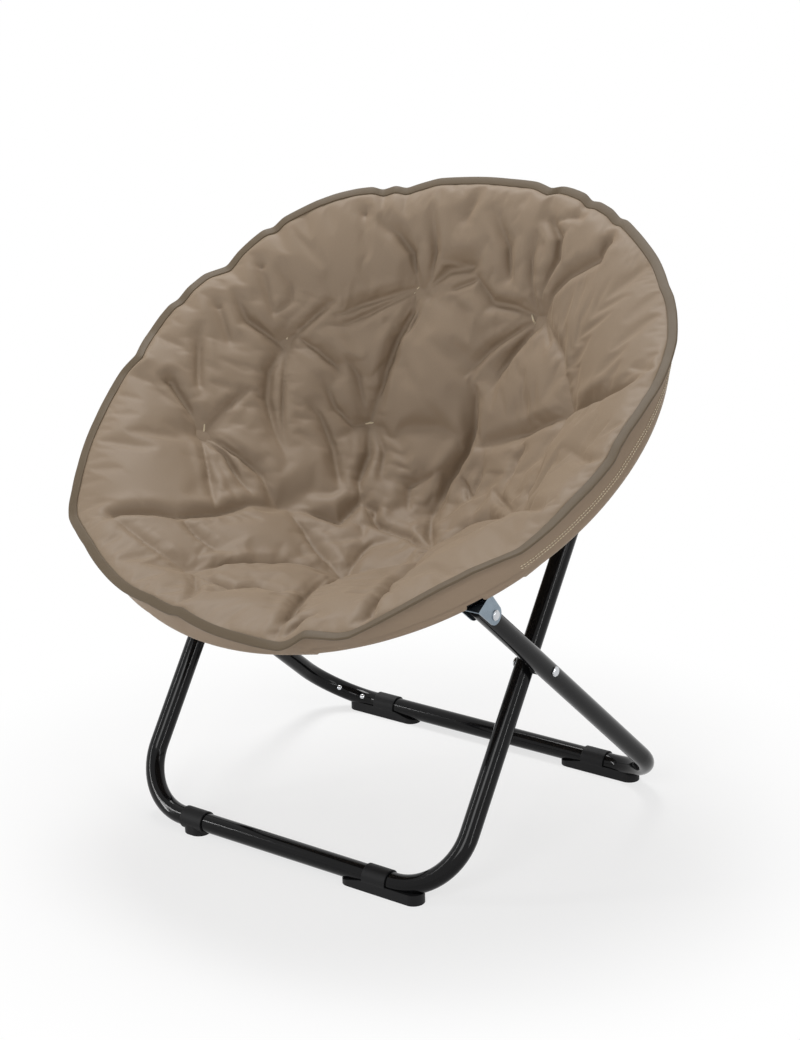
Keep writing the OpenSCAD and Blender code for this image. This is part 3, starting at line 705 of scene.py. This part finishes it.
# Settings of the cloth simulation that fills the cover, under Blender's own names
filling = {
    "quality": 6,
    "mass": 0.15,
    "tension_stiffness": 20,
    "compression_stiffness": 8,
    "shear_stiffness": 8,
    "bending_stiffness": 1.2,
    "air_damping": 2,
    "shrink_min": -0.02,
    "use_pressure": True,
    "uniform_pressure_force": 3.0,
    "vertex_group_mass": "sewn",
    "pin_stiffness": 1,
}
fillingFrames = 20
tuftPlaces = photoToBowl(tufts["stitched"] + tufts["hidden"])


def topSheet():
    share, angle, quads = discGrid(seat["grid"])
    radius, length = evenRadius(share, lambda r: bowlTop(r, seat["startCrown"]))
    outward, lift = edgeWave(angle)
    waveShare = np.clip((radius - seat["waveFrom"]) / (rim["edgeRadius"] - seat["waveFrom"]), 0, 1) ** 2
    height = bowlTop(radius, seat["startCrown"]) + lift * waveShare
    return roundRim(radius + outward * waveShare, angle, height), quads, polar(length, angle), share


def gridNormals(points):
    count = seat["grid"] + 1
    sheet = points.reshape(count, count, 3)
    first, second = np.gradient(sheet, axis=0), np.gradient(sheet, axis=1)
    normals = np.cross(first, second).reshape(-1, 3)
    normals[normals[:, 2] < 0] *= -1
    return normals / np.maximum(np.linalg.norm(normals, axis=1), 1e-12)[:, None]


# For each fold: depth, width, each point's distance from it and place along it, and how strong it is there
def foldsNear(points):
    for depth, width, *pixels in folds:
        gap, along = distanceToPath(points, photoToBowl(pixels))
        taper = np.clip((1 - along) * seat["foldTaper"], 0, 1) ** seat["foldTaperPower"]
        yield depth, width * millimetre, gap, along, taper


def foldDepth(points):
    sunk = np.zeros(len(points))
    held = np.zeros(len(points))
    for depth, width, gap, _, taper in foldsNear(points):
        sunk = np.maximum(sunk, seat["foldScale"] * depth * millimetre * (np.exp(-gap / width) * taper))
        held = np.maximum(held, np.exp(-(gap / seat["foldHoldWidth"]) ** 2) * taper)
    return sunk, held


# Sharp lines in the folds, with the cloth puffed up beside them
def creaseHeight(points):
    sunk = np.zeros(len(points))
    puff = np.zeros(len(points))
    for depth, width, gap, along, taper in foldsNear(points):
        taper *= np.clip(seat["creaseStart"] + along * seat["creaseRise"], 0, 1) * depth * millimetre
        gap /= width
        sunk = np.maximum(sunk, seat["creaseDepth"] * np.exp(-gap / seat["creaseWidth"]) * taper)
        beside = np.exp(-((gap - seat["puffPlace"]) / seat["puffWidth"]) ** 2)
        puff = np.maximum(puff, seat["puffHeight"] * beside * taper)
    return puff * (1 - np.clip(sunk / seat["puffStop"], 0, 1)) - sunk


def tuftDepth(points):
    sunk = np.zeros(len(points))
    held = np.zeros(len(points))
    for place in tuftPlaces:
        gap = np.linalg.norm(points - place, axis=1)
        sunk = np.maximum(sunk, tufts["depth"] * np.exp(-gap / tufts["reach"]))
        held = np.maximum(held, np.exp(-(gap / tufts["holdReach"]) ** 2))
    return sunk, held


def simulate(piece, weights, levels=10):
    group = piece.vertex_groups.new(name="sewn")
    for level in range(1, levels + 1):
        chosen = np.nonzero(np.round(weights * levels) == level)[0]
        group.add([int(i) for i in chosen], level / levels, "REPLACE")
    cloth = piece.modifiers.new("filling", "CLOTH")
    for name, value in filling.items():
        setattr(cloth.settings, name, value)
    cloth.settings.effector_weights.gravity = 0
    cloth.collision_settings.use_collision = False
    cloth.point_cache.frame_start = 1
    cloth.point_cache.frame_end = fillingFrames
    for step in range(1, fillingFrames + 1):
        bpy.context.scene.frame_set(step)
    shaped = piece.evaluated_get(bpy.context.evaluated_depsgraph_get())
    moved = meshPoints(shaped.data)
    piece.modifiers.remove(cloth)
    piece.vertex_groups.clear()
    bpy.context.scene.frame_set(1)
    return moved


def makeTop():
    points, quads, uv, share = topSheet()
    foldSunk, foldHeld = foldDepth(points)
    tuftSunk, tuftHeld = tuftDepth(points)
    calm = np.clip((1 - share) / seat["edgeCalm"], 0, 1)
    start = points - gridNormals(points) * np.maximum(foldSunk, tuftSunk)[:, None] * calm[:, None]
    piece = newObject("seatTop", toWorld(start), quads, padCloth, uv)
    edgeHeld = (share > seat["sewnShare"]).astype(float)
    weights = np.clip(np.maximum.reduce([edgeHeld, tuftHeld, foldHeld * seat["foldHold"]]), 0, 1)
    change = toRim(simulate(piece, weights)) - start
    size = np.linalg.norm(change, axis=1)
    print("filling moved the cover by up to", round(float(size.max()), 4), "m")
    change *= np.minimum(1, seat["cap"] / np.maximum(size, 1e-9))[:, None]
    placePoints(piece.data, toWorld(start + change))
    flat = piece.data.attributes.new("flat", "FLOAT_VECTOR", "POINT")
    flat.data.foreach_set("vector", points.astype(np.float32).ravel())
    smooth = piece.modifiers.new("smooth", "SUBSURF")
    smooth.levels = smooth.render_levels = 1
    settleModifier(piece)
    pressCreases(piece.data)
    return piece


def pressCreases(mesh):
    flat = readAll(mesh.attributes["flat"].data, "vector", 3)
    mesh.attributes.remove(mesh.attributes["flat"])
    normals = readAll(mesh.vertices, "normal", 3)
    normals[normals @ np.array(rimNormal) < 0] *= -1
    radius = np.hypot(flat[:, 0], flat[:, 1])
    share = np.clip((rim["edgeRadius"] + seat["edgePast"] - radius) / seat["edgeCalm"], 0, 1)
    placePoints(mesh, meshPoints(mesh) + normals * (creaseHeight(flat) * share)[:, None])


# The underside: puckers at the rim, lumps, and dents where the tufts pull it up
under = {
    "grid": 90,
    "pucker": 0.0030,
    "puckerWaves": (23, 3, 2),
    "puckerRadius": 0.30,
    "puckerWidth": 0.045,
    "pull": 0.016,
    "pullReach": 0.026,
    "lump": 0.004,
    "lumpWaves": {"across": 31, "sway": 2, "swayUp": 17, "up": 27, "start": 1},
    "calmRadius": 0.34,
    "calmWidth": 0.08,
}


# Waves round the rim that sway from side to side
def swayingWaves(angle, count, sway, swayCount):
    return np.sin(count * angle + sway * np.sin(swayCount * angle))


def makeUnder():
    share, angle, quads = discGrid(under["grid"])
    radius, length = evenRadius(share, bowlUnder)
    outward, lift = edgeWave(angle)
    rimShare = np.clip((radius - rim["radius"]) / (rim["edgeRadius"] - rim["radius"]), 0, 1)
    ring = np.exp(-((radius - under["puckerRadius"]) / under["puckerWidth"]) ** 2)
    pucker = under["pucker"] * swayingWaves(angle, *under["puckerWaves"]) * ring
    points = roundRim(radius + outward * rimShare, angle, bowlUnder(radius) + pucker + lift * rimShare)
    x, v = points[:, 0], points[:, 1]
    pull = np.zeros(len(points))
    for place in tuftPlaces:
        gap = np.hypot(x - place[0], v - place[1])
        pull = np.maximum(pull, under["pull"] * np.exp(-gap / under["pullReach"]))
    waves = under["lumpWaves"]
    across = np.sin(waves["across"] * x + waves["sway"] * np.sin(waves["swayUp"] * v))
    lump = under["lump"] * across * np.sin(waves["up"] * v + waves["start"])
    points[:, 2] += (pull + lump) * np.clip((under["calmRadius"] - radius) / under["calmWidth"], 0, 1)
    return newObject("seatUnder", toWorld(points), quads[:, ::-1], padCloth, polar(length, angle))


# The open edge's vertices in order round the rim, and their angles
def edgeLoop(mesh):
    used = readAll(mesh.loops, "edge_index", kind=np.int32)
    lone = np.bincount(used, minlength=len(mesh.edges)) == 1
    rimmed = np.unique(readAll(mesh.edges, "vertices", 2, kind=np.int32)[lone])
    places = toRim(meshPoints(mesh)[rimmed])
    angle = np.arctan2(places[:, 1], places[:, 0])
    order = np.argsort(angle)
    return rimmed[order], angle[order]


# Joins the top and the underside round the edge into one closed shell
def joinShells(top, bottom):
    upper, upperAngle = edgeLoop(top.data)
    lower, lowerAngle = edgeLoop(bottom.data)
    offset = len(top.data.vertices)
    points = np.concatenate([meshPoints(top.data), meshPoints(bottom.data)])
    faces = [tuple(p.vertices) for p in top.data.polygons]
    faces += [tuple(i + offset for i in p.vertices) for p in bottom.data.polygons]
    upperAngle = np.append(upperAngle, upperAngle[0] + 2 * math.pi)
    lowerAngle = np.append(lowerAngle, lowerAngle[0] + 2 * math.pi)
    i = j = 0
    while i < len(upper) or j < len(lower):
        a, b = upper[i % len(upper)], lower[j % len(lower)] + offset
        if j == len(lower) or (i < len(upper) and upperAngle[i + 1] < lowerAngle[j + 1]):
            faces.append((a, b, upper[(i + 1) % len(upper)]))
            i += 1
        else:
            faces.append((a, b, lower[(j + 1) % len(lower)] + offset))
            j += 1
    uvs = []
    for part in (top, bottom):
        place = np.zeros((len(part.data.vertices), 2))
        corners = readAll(part.data.loops, "vertex_index", kind=np.int32)
        place[corners] = readAll(part.data.uv_layers["cloth"].data, "uv", 2)
        uvs.append(place)
    whole = newObject("seatWhole", points, faces, padCloth, np.concatenate(uvs))
    bpy.data.objects.remove(top)
    bpy.data.objects.remove(bottom)
    return whole


# Cuts a closed shell at the hinge line and closes both halves. The normals stay smooth across the cut,
# unless edges over an angle are to be sharp.
def splitAtHinge(whole, names, sharp=None):
    plane = rimCentre + rimUp * hingeV
    bm = bmesh.new()
    bm.from_mesh(whole.data)
    bmesh.ops.recalc_face_normals(bm, faces=bm.faces)
    everything = [*bm.verts, *bm.edges, *bm.faces]
    bmesh.ops.bisect_plane(bm, geom=everything, dist=1e-6, plane_co=plane, plane_no=rimUp)
    bm.normal_update()
    sides = []
    for name, side in zip(names, (-1, 1)):
        part = bm.copy()
        part.normal_update()
        away = [f for f in part.faces if side * (f.calc_center_median() - plane).dot(rimUp) < 0]
        known = {v.index: v.normal.copy() for v in part.verts}
        first = part.verts.layers.int.new("first")
        for v in part.verts:
            v[first] = v.index
        bmesh.ops.delete(part, geom=away, context="FACES")
        rims = [e for e in part.edges if e.is_boundary]
        caps = bmesh.ops.edgenet_fill(part, edges=rims)["faces"]
        flat = set(bmesh.ops.triangulate(part, faces=caps, ngon_method="EAR_CLIP")["faces"])
        for f in flat:
            f.smooth = False
            f.normal_update()
            if side * f.normal.dot(rimUp) > 0:
                f.normal_flip()
        part.faces.index_update()
        normals = [f.normal.copy() if f in flat else known[v[first]] for f in part.faces for v in f.verts]
        mesh = bpy.data.meshes.new(name)
        part.to_mesh(mesh)
        part.free()
        mesh.materials.append(whole.data.materials[0])
        if sharp is None:
            mesh.normals_split_custom_set(normals)
        else:
            mesh.set_sharp_from_angle(angle=math.radians(sharp))
        sides.append(addObject(name, mesh))
    bm.free()
    bpy.data.objects.remove(whole)
    return sides


def squashOnRim(piece):
    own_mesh(piece)


whole = joinShells(makeTop(), makeUnder())
padFront, padBack = splitAtHinge(whole, ("seatPadFront", "seatPadBack"))
for piece, body, node in ((padFront, "front_rim", "seat_pad_front"), (padBack, "back_rim", "seat_pad_back")):
    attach(piece, body)
    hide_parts(node)
    squashOnRim(piece)
print("seat pad made")

ringAngles = np.arange(boundEdge["steps"]) * 2 * math.pi / boundEdge["steps"]


# The section of a flat bar with round corners
def flatBar(long, thick, corner, steps=4):
    places = []
    for turn, (a, b) in enumerate(((1, 1), (-1, 1), (-1, -1), (1, -1))):
        for s in range(steps):
            angle = math.pi / 2 * (turn + s / (steps - 1))
            places.append((a * (long / 2 - corner) + corner * math.cos(angle),
                           b * (thick / 2 - corner) + corner * math.sin(angle)))
    return np.array(places)


def onBothHoops(pieces, nodes):
    for piece, body, node in zip(pieces, ("front_rim", "back_rim"), nodes):
        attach(piece, body)
        if node:
            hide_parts(node)


def makeTape():
    middle, along, across = edgeAxes(ringAngles)
    bar = flatBar(boundEdge["tapeWidth"], boundEdge["tapeThickness"], boundEdge["tapeCorner"])
    sections = middle[:, None] + along[:, None] * bar[None, :, :1] + across[:, None] * bar[None, :, 1:]
    return splitAtHinge(sweepRing("bindingWhole", ringAngles, sections, bindingTape),
                        ("bindingTapeFront", "bindingTapeBack"), sharp=60)


onBothHoops(makeTape(), ("binding_front", "binding_back"))
print("binding tape made")

sleeve = {
    "outer": 0.0136,  # round the middle of the tube
    "inner": 0.0124,
    "inTape": 0.0058,  # how far under the tape's middle the cloth ends
    "end": 150,  # degrees round the tube, on the inside
    "lineSteps": 5,
    "arcSteps": 18,
    "ripple": 0.0005,
    "rippleWaves": (9, 2, 4),
    "bottom": math.radians(80),  # below level, where the cloth hangs most
    "bottomWidth": 0.6,
    "corners": ((329.5, 4.0), (290.0, -4.0)),  # where a length of sleeve ends, and which way its corner hangs
    "cornerDrop": 0.0030,
    "notches": (  # x, v, half widths
        (0.2854, -0.2394, 0.0169, 0.0166),
        (0.254, 0.2725, 0.0169, 0.0166),
        (0.33896, 0.15447, 0.0069, 0.0236),
    ),
    "notchDepth": 0.03,
}


def cornerSwell(angle):
    degrees = np.degrees(angle) % 360
    swell = np.zeros_like(degrees)
    for place, length in sleeve["corners"]:
        share = (degrees - place) / length
        swell = np.maximum(swell, np.where((share >= 0) & (share <= 1), 1 - share, 0))
    return swell


# Where the cloth leaves the tape, and the place and the angle at which it meets the tube
def clothLine(angle, radius):
    middle, along, _ = edgeAxes(angle)
    start = middle - along * sleeve["inTape"]
    touch = np.arctan2(start[:, 1], start[:, 0]) - np.arccos(radius / np.linalg.norm(start, axis=1))
    return start, polar(radius, touch), touch


def clothFace(angle, radius, hang):
    start, end, touch = clothLine(angle, radius)
    points = [start + (end - start) * s for s in np.linspace(0, 1, sleeve["lineSteps"], endpoint=False)]
    last = math.radians(sleeve["end"] - 360)
    for s in np.linspace(0, 1, sleeve["arcSteps"]):
        turn = touch + (last - touch) * s
        bottom = np.exp(-((turn + sleeve["bottom"]) / sleeve["bottomWidth"]) ** 2)
        ripple = sleeve["ripple"] * (1 + swayingWaves(angle, *sleeve["rippleWaves"])) / 2 * bottom
        drop = sleeve["cornerDrop"] * cornerSwell(angle) * bottom
        points.append(polar(radius + hang * (drop + ripple), turn))
    return np.stack(points, axis=1)


def boxMesh(bm, centre, half):
    across, up, out = Vector((half[0], 0, 0)), rimUp * half[1], rimNormal * half[2]
    ends = (-1, 1)
    verts = [bm.verts.new(centre + up * b + out * c + across * a) for a in ends for b in ends for c in ends]
    for face in ((0, 1, 3, 2), (4, 6, 7, 5), (0, 4, 5, 1), (2, 3, 7, 6), (0, 2, 6, 4), (1, 5, 7, 3)):
        bm.faces.new([verts[i] for i in face])


# Cuts room for the brackets and hinges out of the lower half of the sleeve
def cutNotches(whole):
    bm = bmesh.new()
    depth = sleeve["notchDepth"]
    for x, v, halfX, halfV in sleeve["notches"]:
        for side in (-1, 1):
            centre = rimCentre + rimUp * v - rimNormal * depth + Vector((side * x, 0, 0))
            boxMesh(bm, centre, (halfX, halfV, depth))
    bmesh.ops.recalc_face_normals(bm, faces=bm.faces)
    mesh = bpy.data.meshes.new("notches")
    bm.to_mesh(mesh)
    bm.free()
    cutter = addObject("notches", mesh)
    modifier = whole.modifiers.new("notches", "BOOLEAN")
    modifier.operation = "DIFFERENCE"
    modifier.solver = "EXACT"
    modifier.object = cutter
    settleModifier(whole)
    bpy.data.objects.remove(cutter)


def makeSleeve():
    outer = clothFace(ringAngles, sleeve["outer"], 1)
    inner = clothFace(ringAngles, sleeve["inner"], 0)
    sections = np.concatenate([outer, inner[:, ::-1]], axis=1)
    whole = sweepRing("sleeveWhole", ringAngles, sections, sleeveCloth)
    cutNotches(whole)
    return splitAtHinge(whole, ("rimSleeveFront", "rimSleeveBack"), sharp=50)


onBothHoops(makeSleeve(), ("front_sleeve", "back_sleeve"))
print("sleeve made")

band = {
    "top": 0.001,  # over the start of the sleeve's line
    "hem": 0.0085,  # height of its lower edge over the rim
    "wave": 0.0012,
    "waves": (7, 3),
    "cornerDrop": 0.004,
    "faces": {"outer": (0.0034, 1), "inner": (0.0014, -1)},  # distance off the sleeve, order of its points
    "thin": 0.25,  # at the top, as a share of its thickness
    "thicken": 2.5,  # how fast it gets there further down
    "lineSteps": 6,
    "seams": (0.0108, 0.0146),  # heights of the two rows of stitches
    "seamLift": 0.0003,
    # name: body, and the stretches that are sewn, in degrees
    "sewn": {
        "hemStitchesFront": ("front_rim", ((-30.5, 24.5), (155.5, 210.5))),
        "hemStitchesBack": ("back_rim", ((24.5, 155.5),)),
    },
    "seamStart": 0.3,
    "seamEnd": 0.2,
    "seamStep": 0.5,
}


# A line on the band, at a height over the rim and a distance off the sleeve
def bandPoint(angle, height, off):
    start, end, _ = clothLine(angle, sleeve["outer"])
    way = (end - start) / np.linalg.norm(end - start, axis=1)[:, None]
    share = (height - start[:, 1]) / way[:, 1]
    return start + way * share[:, None] + squareTo(way) * off


def makeBand():
    start, _, _ = clothLine(ringAngles, sleeve["outer"])
    top = start[:, 1] + band["top"]
    many, few = band["waves"]
    wave = band["wave"] * np.sin(many * ringAngles) * np.sin(few * ringAngles + 1)
    hem = band["hem"] + wave - band["cornerDrop"] * cornerSwell(ringAngles)
    faces = []
    for off, order in band["faces"].values():
        rows = []
        for s in np.linspace(0, 1, band["lineSteps"]):
            depth = off * min(1, band["thin"] + band["thicken"] * s)
            rows.append(bandPoint(ringAngles, top + (hem - top) * s, depth))
        faces.append(np.stack(rows, axis=1)[:, ::order])
    whole = sweepRing("bandWhole", ringAngles, np.concatenate(faces, axis=1), sleeveCloth)
    return splitAtHinge(whole, ("rimBandFront", "rimBandBack"), sharp=50)


onBothHoops(makeBand(), (None, None))
print("upper band made")

stitch = {"Spacing": 0.0040, "Stitch Length": 0.0032, "Thread": 0.0011}


# A row of stitches along a path: one thread, dipping into the cloth between stitches
def stitchTree():
    tree = bpy.data.node_groups.new("stitchRow", "GeometryNodeTree")
    face = tree.interface
    for way in ("INPUT", "OUTPUT"):
        face.new_socket("Geometry", in_out=way, socket_type="NodeSocketGeometry")
    for name, value in stitch.items():
        face.new_socket(name, in_out="INPUT", socket_type="NodeSocketFloat").default_value = value
    finish = face.new_socket("Finish", in_out="INPUT", socket_type="NodeSocketMaterial")
    given = addNode(tree, "NodeGroupInput").outputs
    curve = addNode(tree, "GeometryNodeMeshToCurve", Mesh=given["Geometry"])
    even = addNode(tree, "GeometryNodeResampleCurve", {"mode": "LENGTH"}, Curve=curve.outputs["Curve"],
                   Length=given["Spacing"])
    ball = addNode(tree, "GeometryNodeMeshUVSphere", Segments=6, Rings=5, Radius=0.5)
    tangent = addNode(tree, "GeometryNodeInputTangent")
    turn = addNode(tree, "FunctionNodeAlignRotationToVector", {"axis": "X"},
                   Vector=tangent.outputs["Tangent"])
    thread = given["Thread"]
    size = addNode(tree, "ShaderNodeCombineXYZ", X=given["Stitch Length"], Y=thread, Z=thread)
    place = addNode(tree, "GeometryNodeInstanceOnPoints", Points=even.outputs["Curve"],
                    Instance=ball.outputs["Mesh"], Rotation=turn.outputs["Rotation"],
                    Scale=size.outputs["Vector"])
    real = addNode(tree, "GeometryNodeRealizeInstances", Geometry=place.outputs["Instances"])
    smooth = addNode(tree, "GeometryNodeSetShadeSmooth", Geometry=real.outputs["Geometry"])
    sewn = addNode(tree, "GeometryNodeSetMaterial", Geometry=smooth.outputs["Geometry"],
                   Material=given["Finish"])
    addNode(tree, "NodeGroupOutput", Geometry=sewn.outputs["Geometry"])
    return tree, finish.identifier


def sewAlong(name, paths, tree, finish):
    points, edges = [], []
    for path in paths:
        edges += [(len(points) + i, len(points) + i + 1) for i in range(len(path) - 1)]
        points += [tuple(p) for p in path]
    mesh = bpy.data.meshes.new(name)
    mesh.from_pydata(points, edges, [])
    piece = addObject(name, mesh)
    modifier = piece.modifiers.new("stitches", "NODES")
    modifier.node_group = tree
    modifier[finish] = creamThread
    settleModifier(piece)
    return piece


def makeStitches():
    tree, finish = stitchTree()
    for name, (body, stretches) in band["sewn"].items():
        paths = []
        for first, last in stretches:
            angle = np.radians(np.arange(first + band["seamStart"], last - band["seamEnd"], band["seamStep"]))
            for height in band["seams"]:
                off = band["faces"]["outer"][0] + band["seamLift"]
                row = bandPoint(angle, np.full_like(angle, height), off)
                paths.append(toWorld(roundRim(rim["radius"] + row[:, 0], angle, row[:, 1])))
        piece = sewAlong(name, paths, tree, finish)
        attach(piece, body)


makeStitches()
print("stitches made")

tacks = {
    # pixel of the photograph: length, turn in the picture
    "places": {(417, 290): (0.015, 62), (533, 319): (0.014, 112), (286, 342): (0.015, 78),
               (204, 429): (0.014, 84), (370, 423): (0.014, 8)},
    "strands": 2,
    "gap": 0.0012,
    "closing": 0.6,  # how fast the strands draw together from their middle to their ends
    "thread": 0.0006,
    "threadEnd": 0.25,  # as a share of its radius
    "threadRound": 0.35,  # the power of its taper
    "stand": 0.0007,  # over the cloth
    "sink": 3,  # how fast it sinks towards the cloth at its ends
    "steps": 9,
    "sides": 8,
}


# A round thread through some points, closed at both ends
def threadTube(path, radius, sides):
    path = np.asarray(path)
    way = np.gradient(path, axis=0)
    way /= np.linalg.norm(way, axis=1)[:, None]
    side = np.cross(way, np.array((0.31, 0.42, 0.85)))  # any direction that no thread has
    side /= np.linalg.norm(side, axis=1)[:, None]
    up = np.cross(side, way)
    points = []
    for i, place in enumerate(path):
        share = i / (len(path) - 1)
        size = radius * max(tacks["threadEnd"], math.sin(math.pi * share) ** tacks["threadRound"])
        for j in range(sides):
            a = 2 * math.pi * j / sides
            points.append(place + size * (math.cos(a) * side[i] + math.sin(a) * up[i]))
    ends = [tuple(range(sides)), tuple(len(points) - 1 - i for i in range(sides))]
    return points, ringFaces(len(path), sides) + ends


def joined(name, shapes, material):
    points, faces = [], []
    for more, moreFaces in shapes:
        faces += [tuple(i + len(points) for i in f) for f in moreFaces]
        points += list(more)
    return pointOutwards(newObject(name, points, faces, material))


# Short bars of thread at the tufts, laid on the finished cover
def makeTacks(pads):
    turn = camera.rotation_euler.to_matrix()
    start = Vector(cameraPlace["location"])
    found = {pad.name: [] for pad in pads}
    for pixel, (length, angle) in tacks["places"].items():
        aim = Vector(photoAims([pixel])[0]).normalized()
        hits = []
        for pad in pads:
            hit, place, normal, _ = pad.ray_cast(start, aim)
            if hit:
                hits.append(((place - start).length, place, normal, pad))
        if not hits:
            continue
        _, place, normal, pad = min(hits, key=lambda h: h[0])
        tilt = math.radians(angle)
        way = turn @ Vector((math.cos(tilt), math.sin(tilt), 0))
        way = (way - normal * way.dot(normal)).normalized()
        side = normal.cross(way)
        for strand in range(tacks["strands"]):
            offset = (strand - (tacks["strands"] - 1) / 2) * tacks["gap"]
            path = []
            for s in np.linspace(-0.5, 0.5, tacks["steps"]):
                middle = place + way * (s * length) + side * (offset * (1 - tacks["closing"] * abs(s)))
                _, on, out, _ = pad.closest_point_on_mesh(middle)
                path.append(tuple(on + out * (tacks["stand"] * (1 - tacks["sink"] * s * s))))
            found[pad.name].append(threadTube(path, tacks["thread"], tacks["sides"]))
    for pad, name, body in zip(pads, ("tuftTacksFront", "tuftTacksBack"), ("front_rim", "back_rim")):
        if found[pad.name]:
            piece = joined(name, found[pad.name], creamThread)
            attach(piece, body)
            squashOnRim(piece)


makeTacks((padFront, padBack))
print("tuft tacks made")

smallRivets = {
    "places": ((-0.2574, 0.2435, 0.0303), (-0.2251, 0.2566, 0.0189)),  # middle of the rear frame's tube
    "tubeRadius": 0.0125,
    # radius, height
    "profile": ((0.0036, -0.0004), (0.0036, 0.0004), (0.0033, 0.0010), (0.0024, 0.0015), (0.0012, 0.0018)),
    "top": 0.0001,  # over the last of them
    "sides": 24,
}


def domedHead(centre, way, across):
    side = way.cross(across).normalized()
    sides, profile = smallRivets["sides"], smallRivets["profile"]
    points = []
    for radius, height in profile:
        for j in range(sides):
            a = 2 * math.pi * j / sides
            points.append(centre + across * height + (way * math.cos(a) + side * math.sin(a)) * radius)
    last, top = len(points) - sides, len(points)
    points.append(centre + across * (profile[-1][1] + smallRivets["top"]))
    faces = ringFaces(len(profile), sides)
    faces += [(last + j, last + (j + 1) % sides, top) for j in range(sides)]
    return points, faces + [tuple(range(sides))]


def makeSmallRivets():
    first, last = (Vector(p) for p in smallRivets["places"])
    way = (last - first).normalized()
    heads = []
    for place in (first, last):
        towards = Vector(cameraPlace["location"]) - place
        across = (towards - way * towards.dot(way)).normalized()
        heads.append(domedHead(place + across * smallRivets["tubeRadius"], way, across))
    piece = joined("frameRivets", heads, rivetSteel)
    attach(piece, "rear_legs")


makeSmallRivets()
print("small rivets made")
